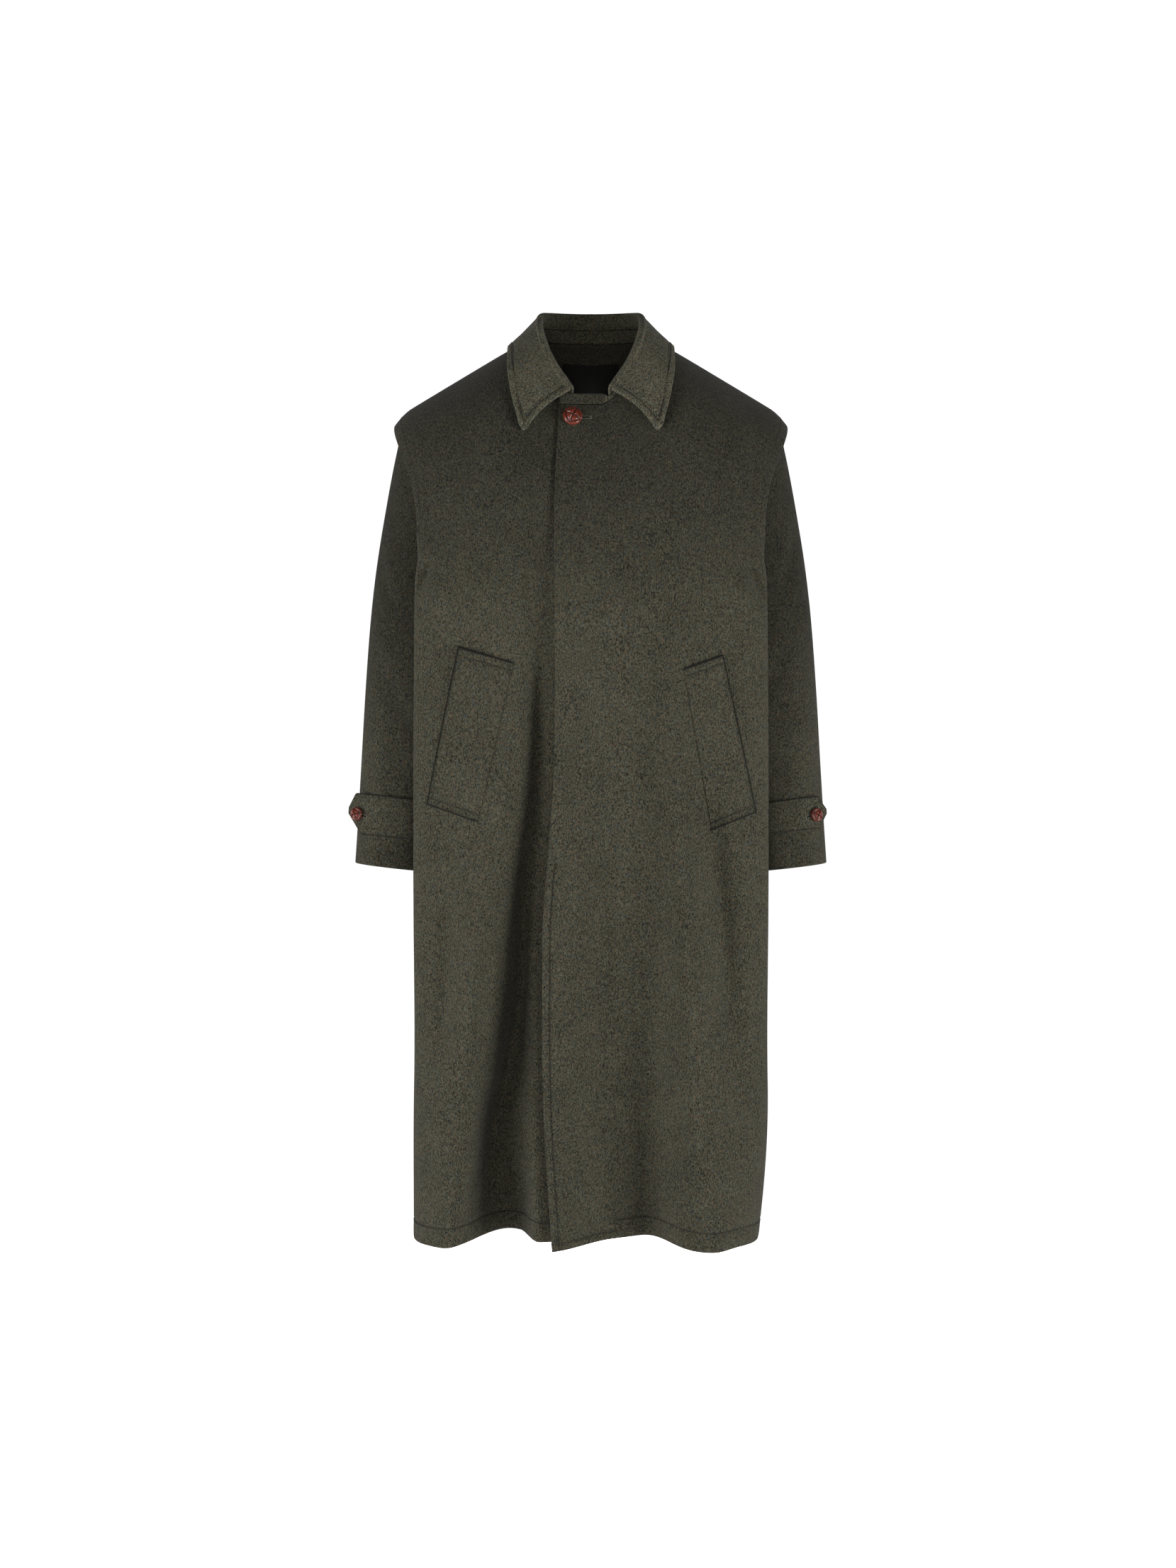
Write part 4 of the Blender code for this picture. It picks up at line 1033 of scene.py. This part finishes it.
# painted shadow along the strap's edges, where it stands off the sleeve
STRAP_PAINTED_SHADOW = 0.95
# Heights of both edges, length off the sleeve, length of the point along both edges, how far down the width
# the tip lies, from the tip to the button, how far the sewn end climbs, and the size and area of the cut
STRAPS = {
    "left": {
        "top_z": -0.5793, "bottom_z": -0.6259, "free": 0.0262, "upper_point": 0.0125, "lower_point": 0.0125,
        "tip_share": 0.50, "button": 0.0176, "climb": 0.005, "cut": (0.095, 0.047), "cut_area": 0.0042,
    },
    "right": {
        "top_z": -0.5762, "bottom_z": -0.6330, "free": 0.0362, "upper_point": 0.0095, "lower_point": 0.0215,
        "tip_share": 0.425, "button": 0.0148, "climb": 0.007, "cut": (0.104, 0.057), "cut_area": 0.0054,
    },
}
strap_height = places(STRAP_WIDTH, STRAP_STEP)


def sleeve_lifted(t, angle, lift):
    """A place on the left sleeve, moved out along its normal."""
    step = 0.004
    here = sleeve_point(t, angle)
    along = sleeve_point(t + step, angle) - sleeve_point(t - step, angle)
    around = sleeve_point(t, angle + step) - sleeve_point(t, angle - step)
    return here + unit(np.cross(around, along)) * lift


def strap_grid(side):
    """A cuff strap, as if on the left: round the front of the sleeve, then straight off it to a point."""
    strap = STRAPS[side]
    heights = strap["top_z"] + (strap["bottom_z"] - strap["top_z"]) * strap_height
    rows = np.interp(-heights, -SLEEVE["outer_z"], SLEEVE_PLACES)
    columns = []
    for share in places(STRAP_ROUND, STRAP_STEP, (), None):
        turn = math.radians(STRAP_START + (STRAP_LEAVE - STRAP_START) * share)
        climb = strap["climb"] * (1 - share)
        columns.append(np.array([sleeve_lifted(t - climb, turn, STRAP_CLEAR) for t in rows]))
    last = columns[-1]
    way = unit((last - columns[-3]).mean(axis=0))
    tip = last[0] + (last[-1] - last[0]) * strap["tip_share"]
    point = np.where(strap_height < strap["tip_share"], strap["upper_point"], strap["lower_point"])
    free = strap["free"]
    for length in free * places(free, POINT_STEP, None, ())[1:]:
        narrow = np.minimum(1, STRAP_TIP + (1 - STRAP_TIP) * (free - length) / point)
        columns.append(tip + (last - tip) * narrow[:, None] + way * length)
    return np.array(columns)


strap_grids = {side: strap_grid(side) for side in STRAPS}
for side, grid in strap_grids.items():
    worn = grid if side == "left" else (grid * MIRROR)[::-1]
    strap = cloth_shell("strap_" + side + "_cloth", worn, STRAP_CLOTH, 1, BODY_WOOL, edges=STRAP_PAINTED_SHADOW)
    belongs(strap, "fulled_wool", "strap_" + side)


# Neck label
# A bare piece of black woven ribbon with a slight sheen. It is sewn by its edges to the inside of the back,
# below the neck seam.

LABEL_CLOTH, LABEL_CLEAR = 0.0008, 0.0016
LABEL_WIDTH, LABEL_TOP_Z, LABEL_BOTTOM_Z = 0.080, 0.006, -0.046
LABEL_BLACK = (0.022, 0.021, 0.020, 1.0)
LABEL_GREY = (0.036, 0.035, 0.033, 1.0)
LABEL_STEP = 0.002
WEAVE = 2200.0  # radians a metre, which makes a rib every 2.9 mm
WAVE_TURN = 20.0  # radians that a wave texture turns for each unit of its scale


def ribbon():
    """Black ribbon, woven with soft ribs both ways."""
    material, shader, place = new_material("label_ribbon", Roughness=0.55, Sheen_Weight=0.05)
    wave = {"Vector": place, "Scale": WEAVE / WAVE_TURN, "Distortion": 0.4}
    across = place.node("ShaderNodeTexWave", {"bands_direction": "Z"}, wave, 1)
    along = place.node("ShaderNodeTexWave", {"bands_direction": "X"}, wave, 1)
    weave = across * along
    feed(shader, "Base Color", weave.blend(LABEL_BLACK, LABEL_GREY))
    bump = place.node("ShaderNodeBump", None, {"Strength": 0.3, "Distance": 0.0002, "Height": weave})
    feed(shader, "Normal", bump)
    return material


label_x, label_z = np.meshgrid(
    LABEL_WIDTH * (0.5 - places(LABEL_WIDTH, LABEL_STEP)),
    LABEL_BOTTOM_Z + (LABEL_TOP_Z - LABEL_BOTTOM_Z) * places(LABEL_TOP_Z - LABEL_BOTTOM_Z, LABEL_STEP),
)
label_grid = panel_point("back", label_x, label_z, -(CLOTH + LABEL_CLEAR))
label = cloth_shell("label_ribbon_cloth", label_grid, LABEL_CLOTH, -1, ribbon())
belongs(label, "label_ribbon", "label")


# Topstitching
# Rows of dark olive thread, a stitch every few millimetres, that hold the edges flat: round the collar and
# the wings, down the front edge, along the hem and across both ends of each welt.

STITCH_PITCH, STITCH_LENGTH = 0.0034, 0.0027
THREAD_RADIUS = 0.00026
THREAD_SIDES = 5
THREAD_SPAN = np.array([-1.0, -0.7, 0.0, 0.7, 1.0])  # rings of points, in half stitches from the middle
THREAD_RISE, THREAD_DIP = 0.9, 1.4  # in radii: its middle over the cloth, its ends below its middle
TWIST, TWIST_DARK = 2600.0, 0.6  # cells a metre, and how dark the thread is between them
THREAD_OLIVE = (0.014, 0.014, 0.010, 1.0)
stitches = []


def sew(points, normals):
    """Adds a row of stitches along points on a face."""
    way = way_along(points, 0)
    middle = np.arange(STITCH_PITCH / 2, way[-1] - STITCH_LENGTH / 2, STITCH_PITCH)

    def read(values, at):
        return np.stack([np.interp(at, way, column) for column in values.T], axis=-1)

    start, end = read(points, middle - STITCH_LENGTH / 2), read(points, middle + STITCH_LENGTH / 2)
    stitches.append((start, end, read(normals, middle)))


def sew_grid(grid, rows, columns, thickness=0.0, closed=False):
    """Sews along the points of a grid at rows and columns, on the face a thickness out from it."""
    normals = grid_normals(grid, closed)[rows, columns]
    sew(grid[rows, columns] + normals * thickness, normals)


def thread(name, colour):
    """Spun thread: one dark colour with a fine twist."""
    material, shader, place = new_material(name, Roughness=0.7, Sheen_Weight=0.1)
    twist = place.noise(TWIST, detail=1.0)
    darker = tuple(TWIST_DARK * part for part in colour[:3]) + (1.0,)
    feed(shader, "Base Color", twist.spread(0.35, 0.65).blend(darker, colour))
    return material


every = slice(None)
wing_rows = np.arange(len(SKIRT) + 2, len(left))
sew_grid(left, wing_rows, len(left_share) - 1 - STITCH_COLUMN)
sew_grid(right, wing_rows, right.shape[1] - len(right_share) + STITCH_COLUMN)
back_middle = back.shape[1] // 2
for side in (-1, 1):
    sew_grid(back, wing_rows, back_middle + side * (len(back_share) - 1 - STITCH_COLUMN))

lap_rows = np.flatnonzero(left[:, STITCH_COLUMN, 2] < LAP_STITCH_Z)
sew_grid(left, lap_rows[LOW_HEM_ROW:], STITCH_COLUMN)
left_hem = left[HEM_ROW, :, 0] >= HEM_STEP_X
sew_grid(left, HEM_ROW, np.flatnonzero(left_hem))
sew_grid(left, LOW_HEM_ROW, np.flatnonzero(~left_hem)[STITCH_COLUMN:])
sew_grid(left, np.arange(LOW_HEM_ROW, HEM_ROW + 1), np.flatnonzero(left_hem)[0])
sew_grid(right, HEM_ROW, every)
sew_grid(back, HEM_ROW, every)

# The slanting end of the stitched fly
FLY_END = table("x z", (-0.0500, -0.6660), (-0.0200, -0.6580), (0.0015, -0.6515))
fly_x = np.linspace(FLY_END["x"][0], FLY_END["x"][-1], 30)
fly_z = curve(fly_x, FLY_END["x"], FLY_END["z"])
sew(panel_point("front_left", fly_x, fly_z), panel_normal("front_left", fly_x, fly_z))

edge_line = collar_grid.shape[1] - 1 - STITCH_COLUMN
corner_rows = np.arange(STITCH_COLUMN, len(collar_grid) - STITCH_COLUMN)
leaf_columns = np.arange(len(BAND) + len(ROLL), edge_line + 1)
sew_grid(collar_grid, corner_rows, edge_line, COLLAR_CLOTH / 2)
for end_row in (STITCH_COLUMN, len(collar_grid) - 1 - STITCH_COLUMN):
    sew_grid(collar_grid, end_row, leaf_columns, COLLAR_CLOTH / 2)
sew_grid(collar_grid, every, len(EDGE_PLACES) - 1, COLLAR_CLOTH / 2)
at_edge = len(EDGE_PLACES) - 2  # a row of stitches close to an edge
across_welt = np.concatenate([[at_edge], np.flatnonzero(welt_across * WELT_WIDTH > STITCH_IN)])
down_welt = np.where(across_welt == at_edge, at_edge, STITCH_COLUMN)  # out to the corner at the open edge
for name, grid in welt_grids.items():
    columns = across_welt if name == "pocket_left" else grid.shape[1] - 1 - across_welt
    for rows, edge_row in ((down_welt, at_edge), (len(grid) - 1 - down_welt, len(grid) - 1 - at_edge)):
        sew_grid(grid, rows, columns, WELT_CLOTH)
        sew_grid(grid, edge_row, every, WELT_CLOTH)


def sewn(name, rows, material):
    """One piece of all the stitches in some rows: short threads that dip into the cloth at both ends."""
    starts, ends, ups = (np.concatenate(values) for values in zip(*rows))
    runs = (ends - starts) / 2
    over = unit(np.cross(runs, ups))
    points = []
    for span in THREAD_SPAN:
        rise = THREAD_RADIUS * (THREAD_RISE - THREAD_DIP * span**4)
        centre = (starts + ends) / 2 + runs * span + ups * rise
        for turn in np.linspace(0, 2 * math.pi, THREAD_SIDES, endpoint=False):
            points.append(centre + THREAD_RADIUS * (over * math.cos(turn) + ups * math.sin(turn)))
    points = np.array(points).transpose(1, 0, 2).reshape(-1, 3)
    count = len(THREAD_SPAN) * THREAD_SIDES
    rings = points[:count].reshape(len(THREAD_SPAN), THREAD_SIDES, 3)
    caps = [range(THREAD_SIDES)[::-1], range(count - THREAD_SIDES, count)]
    one_stitch = grid_quads(rings, closed=True).tolist() + caps
    faces = [[first + k for k in face] for first in range(0, len(points), count) for face in one_stitch]
    belongs(new_piece(name, points, faces, material), "fulled_wool")


sewn("topstitching", stitches, thread("olive_thread", THREAD_OLIVE))


# Buttons and buttonholes
# Domed buttons of red-brown leather strips woven over a core and polished, each sewn on by its shank through
# a slit that is bound with close stitches of pale thread.

# Half of a section in radii, from the crown over the rim to the shank's foot
BUTTON_OUTLINE = table(
    "radius height",
    (0.00, 0.70),
    (0.35, 0.66),
    (0.70, 0.52),
    (0.93, 0.32),
    (1.00, 0.14),
    (0.92, 0.02),
    (0.70, -0.02),
    (0.30, -0.02),
    (0.28, -0.14),
    (0.00, -0.14),
)
BUTTON_FOOT, BUTTON_CLEAR = 0.14, 0.0006
COLLAR_BUTTON_RADIUS, CUFF_BUTTON_RADIUS = 0.0126, 0.0088
COLLAR_BUTTON_X, COLLAR_BUTTON_Z, COLLAR_BUTTON_SPIN = -0.024, -0.099, -0.52
COLLAR_HOLE_X, COLLAR_HOLE_Z = np.array([-0.0170, -0.0006]), np.array([-0.0990, -0.0990])
CUFF_BUTTON_SPIN = {"left": 1.1, "right": 0.3}
CUFF_HOLE = 0.0050, 0.0145  # both ends of the slit from the button's middle
STRIP_RELIEF = 0.16  # height of the woven strips over the radius
KNOT, KNOT_BOW = 0.86, 1.3  # the four pads' outline: its corners' reach and how far its sides bow out
PAD_ROUND, PAD_FULLNESS = 0.30, 3
WOVEN_FROM = 0.02, 0.16  # heights on the rim between which the relief sets in
RELIEF_SPREAD = 0.6  # how much of the relief goes sideways at the rim
GRAIN, WEAR, WEAR_SHADE = 1500.0, 240.0, 0.4  # cells a metre, and how far wear changes the colour
GRAIN_DARKEST, GRAIN_TONE = 0.75, 0.5
POLISH, GRAIN_DULL, GAP_DULL = 0.14, 0.16, 0.25  # roughness, and what grain and gaps add to it
BUTTON_RINGS, BUTTON_SIDES = 80, 128
LEATHER_RED = (0.24, 0.040, 0.020, 1.0)
LEATHER_DARK = (0.035, 0.008, 0.006, 1.0)


def leather():
    """Polished red-brown leather, darker in the gaps between strips, with a fine grain."""
    material, shader, place = new_material("button_leather", Coat_Weight=0.6, Coat_Roughness=0.12)
    grain = place.noise(GRAIN, detail=3.0, roughness=0.6)
    wear = place.moved((2.0, 0.7, 5.0)).noise(WEAR)
    gap = place.node("ShaderNodeAttribute", {"attribute_name": "gap"}, None, "Fac")
    colour = (gap + WEAR_SHADE * (wear - 0.5)).spread(0.0, 1.0).blend(LEATHER_RED, LEATHER_DARK)
    feed(shader, "Base Color", colour.scaled(GRAIN_DARKEST + GRAIN_TONE * grain))
    feed(shader, "Roughness", POLISH + GRAIN_DULL * grain + GAP_DULL * gap)
    bump = place.node("ShaderNodeBump", None, {"Strength": 0.25, "Distance": 0.0002, "Height": grain})
    feed(shader, "Normal", bump)
    return material


BUTTON_LEATHER = leather()


def woven(x, y):
    """Relief of strips woven over a dome, 1 on a strip's crown and 0 in the gaps, on a unit disc.

    Four pads meet in a cross along x and y, inside four strips along the rim.
    """
    across, along = np.abs(x), np.abs(y)
    past_knot = (across**KNOT_BOW + along**KNOT_BOW) ** (1 / KNOT_BOW) - KNOT
    in_knot = np.minimum(np.minimum(across, along), -past_knot)
    gap = np.where(past_knot < 0, in_knot, past_knot)
    return 1 - (1 - np.clip(gap / PAD_ROUND, 0, 1)) ** PAD_FULLNESS


def button(name, radius, seat, normal, spin):
    """A woven leather button standing on a seat point."""
    way = way_along(np.stack(list(BUTTON_OUTLINE.values()), axis=-1), 0)
    along = np.linspace(0, way[-1], BUTTON_RINGS + 1)[1:-1]
    reach = curve(along, way, BUTTON_OUTLINE["radius"])
    height = curve(along, way, BUTTON_OUTLINE["height"])
    turn = np.linspace(0, 2 * math.pi, BUTTON_SIDES, endpoint=False)
    r, angle = np.meshgrid(reach, turn, indexing="ij")
    h = np.broadcast_to(height[:, None], r.shape)
    on_top = ease(h, *WOVEN_FROM)
    relief = (woven(r * np.cos(angle), r * np.sin(angle)) - 1) * on_top
    spread = 1 + STRIP_RELIEF * relief * r * RELIEF_SPREAD
    z_axis = unit(normal)
    x_axis = unit(np.cross((0, 0, 1.0), z_axis))
    y_axis = np.cross(z_axis, x_axis)
    flat_x, flat_y = r * spread * np.cos(angle + spin), r * spread * np.sin(angle + spin)
    rise = h + BUTTON_FOOT + STRIP_RELIEF * relief * np.sqrt(np.clip(1 - r**2, 0, 1))
    rings = radius * (flat_x[..., None] * x_axis + flat_y[..., None] * y_axis + rise[..., None] * z_axis)
    origin = seat + z_axis * BUTTON_CLEAR
    crown = radius * (BUTTON_OUTLINE["height"][0] + BUTTON_FOOT) * z_axis
    points = np.concatenate([rings.reshape(-1, 3), [crown, np.zeros(3)]]) + origin
    last = (len(reach) - 1) * BUTTON_SIDES
    faces = grid_quads(rings, closed=True)[:, ::-1].tolist()
    for k in range(BUTTON_SIDES):
        j = (k + 1) % BUTTON_SIDES
        faces.append([len(points) - 2, k, j])
        faces.append([len(points) - 1, last + j, last + k])
    piece = new_piece(name + "_leather", points, faces, BUTTON_LEATHER)
    crown_gap = -relief[0].mean()
    note_points(piece, "gap", np.concatenate([-relief.reshape(-1), [crown_gap, 0]]))
    belongs(piece, "leather_button", name)


HOLE_PITCH, HOLE_STITCH = 0.0006, 0.0012
HOLE_HALF = 0.0018  # from the slit's middle to the middle of its bound sides
BAR_STITCHES = 3
SLIT_SHADOW_LINES = np.array([-0.0008, -0.0004, 0.0, 0.0004, 0.0008])  # of dark thread side by side: a painted shadow inside the slit
THREAD_PALE = (0.26, 0.23, 0.17, 1.0)
hole_stitches, slit_shadow_stitches = [], []


def buttonhole(start, end, normal):
    """Binds a slit on a face: close stitches along both sides, a bar across its end, and dark threads down
    its middle as the slit's painted shadow.
    """
    run = end - start
    length = np.linalg.norm(run)
    over = np.cross(normal, run / length)
    middles = start + run * np.linspace(0, 1, round(length / HOLE_PITCH))[:, None]
    for side in (-1, 1):
        centres = middles + side * over * HOLE_HALF
        half = over * HOLE_STITCH / 2
        hole_stitches.append((centres - half, centres + half, np.tile(normal, (len(centres), 1))))
    bars = end + run / length * HOLE_PITCH * np.arange(BAR_STITCHES)[:, None]
    half = over * (HOLE_HALF + HOLE_STITCH / 2)
    hole_stitches.append((bars - half, bars + half, np.tile(normal, (BAR_STITCHES, 1))))
    beside = over * SLIT_SHADOW_LINES[:, None]
    slit_shadow_stitches.append((start + beside, end + beside, np.tile(normal, (len(beside), 1))))


button_seat = panel_point("front_left", COLLAR_BUTTON_X, COLLAR_BUTTON_Z)
button_normal = panel_normal("front_left", COLLAR_BUTTON_X, COLLAR_BUTTON_Z)
button("button_collar", COLLAR_BUTTON_RADIUS, button_seat, button_normal, COLLAR_BUTTON_SPIN)
hole_start, hole_end = panel_point("front_left", COLLAR_HOLE_X, COLLAR_HOLE_Z)
buttonhole(hole_start, hole_end, button_normal)
for side, grid in strap_grids.items():
    flip = np.ones(3) if side == "left" else MIRROR
    middle = grid.shape[1] // 2
    tip, near_tip = grid[-1, middle], grid[-4]
    along = unit(tip - near_tip[middle])
    normal = unit(np.cross(near_tip[-1] - near_tip[0], along))
    seat = tip - along * STRAPS[side]["button"] + normal * STRAP_CLOTH
    button("button_cuff_" + side, CUFF_BUTTON_RADIUS, seat * flip, normal * flip, CUFF_BUTTON_SPIN[side])
    hole_start, hole_end = (seat - along * reach for reach in CUFF_HOLE)
    buttonhole(hole_start * flip, hole_end * flip, normal * flip)
sewn("buttonholes", hole_stitches, thread("pale_thread", THREAD_PALE))
# dark threads as the slits' painted shadow
sewn("buttonhole_slit_shadow", slit_shadow_stitches, thread("slit_shadow_thread", THREAD_OLIVE))


# Studio
# A wide pale floor under the hanging coat, soft boxes in front, on both sides and behind, and white
# surroundings.

FLOOR_Z, FLOOR_HALF = -1.75, 14.0
CAMERA_X, CAMERA_Y, CAMERA_Z = -0.0038, -3.2, -0.57
LENS, SENSOR = 55.4, 36.0

FLOOR_GREY, BLACK, WHITE = (0.80, 0.80, 0.80, 1.0), (0.0, 0.0, 0.0, 1.0), (1.0, 1.0, 1.0, 1.0)

corner_sides = ((-1, -1), (1, -1), (1, 1), (-1, 1))
floor_corners = [(across * FLOOR_HALF, along * FLOOR_HALF, FLOOR_Z) for across, along in corner_sides]
floor_look = {"Base_Color": FLOOR_GREY, "Roughness": 0.9, "Emission_Strength": 1.0}
floor_material, floor_shader, floor_place = new_material("pale_floor", **floor_look)
glow = floor_place.node("ShaderNodeLightPath", output="Is Camera Ray")
feed(floor_shader, "Emission Color", glow.blend(BLACK, WHITE))
floor = new_piece("floor", floor_corners, [(0, 1, 2, 3)], floor_material)

# Soft boxes: place, width, height and power
SOFT_BOXES = (
    ((-2.48, -1.46, -1.00), 1.4, 2.0, 50.5),
    ((2.44, -1.53, -1.00), 1.2, 2.0, 49.5),
    ((0.0, -3.6, -0.45), 0.8, 0.8, 13.5),
    ((0.0, 3.2, -0.90), 1.6, 1.6, 45.0),
)
SOFT_BOX_AIM = np.array([0, 0, -0.6])
AMBIENT = 0.05
for place, width, height, power in SOFT_BOXES:
    lamp = bpy.data.lights.new("soft_box", "AREA")
    lamp.shape = "RECTANGLE"
    lamp.size = width
    lamp.size_y = height
    lamp.energy = power
    box = bpy.data.objects.new("soft_box", lamp)
    box.location = place
    aim = SOFT_BOX_AIM - place
    box.rotation_euler = (math.atan2(math.hypot(aim[0], aim[1]), -aim[2]), 0, math.atan2(-aim[0], aim[1]))
    box.visible_camera = False
    bpy.context.scene.collection.objects.link(box)

world = bpy.data.worlds.new("white_surroundings")
world.use_nodes = True
surroundings = world.node_tree.nodes["Background"]
surroundings.inputs["Color"].default_value = WHITE
seen = Shade(world.node_tree).node("ShaderNodeLightPath", output="Is Camera Ray")
feed(surroundings, "Strength", AMBIENT + seen)
bpy.context.scene.world = world
bpy.context.scene.view_settings.view_transform = "Standard"

camera_data = bpy.data.cameras.new("camera")
camera_data.lens = LENS
camera_data.sensor_width = SENSOR
camera = bpy.data.objects.new("camera", camera_data)
camera.location = (CAMERA_X, CAMERA_Y, CAMERA_Z)
camera.rotation_euler = (math.pi / 2, 0, 0)
bpy.context.scene.collection.objects.link(camera)
bpy.context.scene.camera = camera
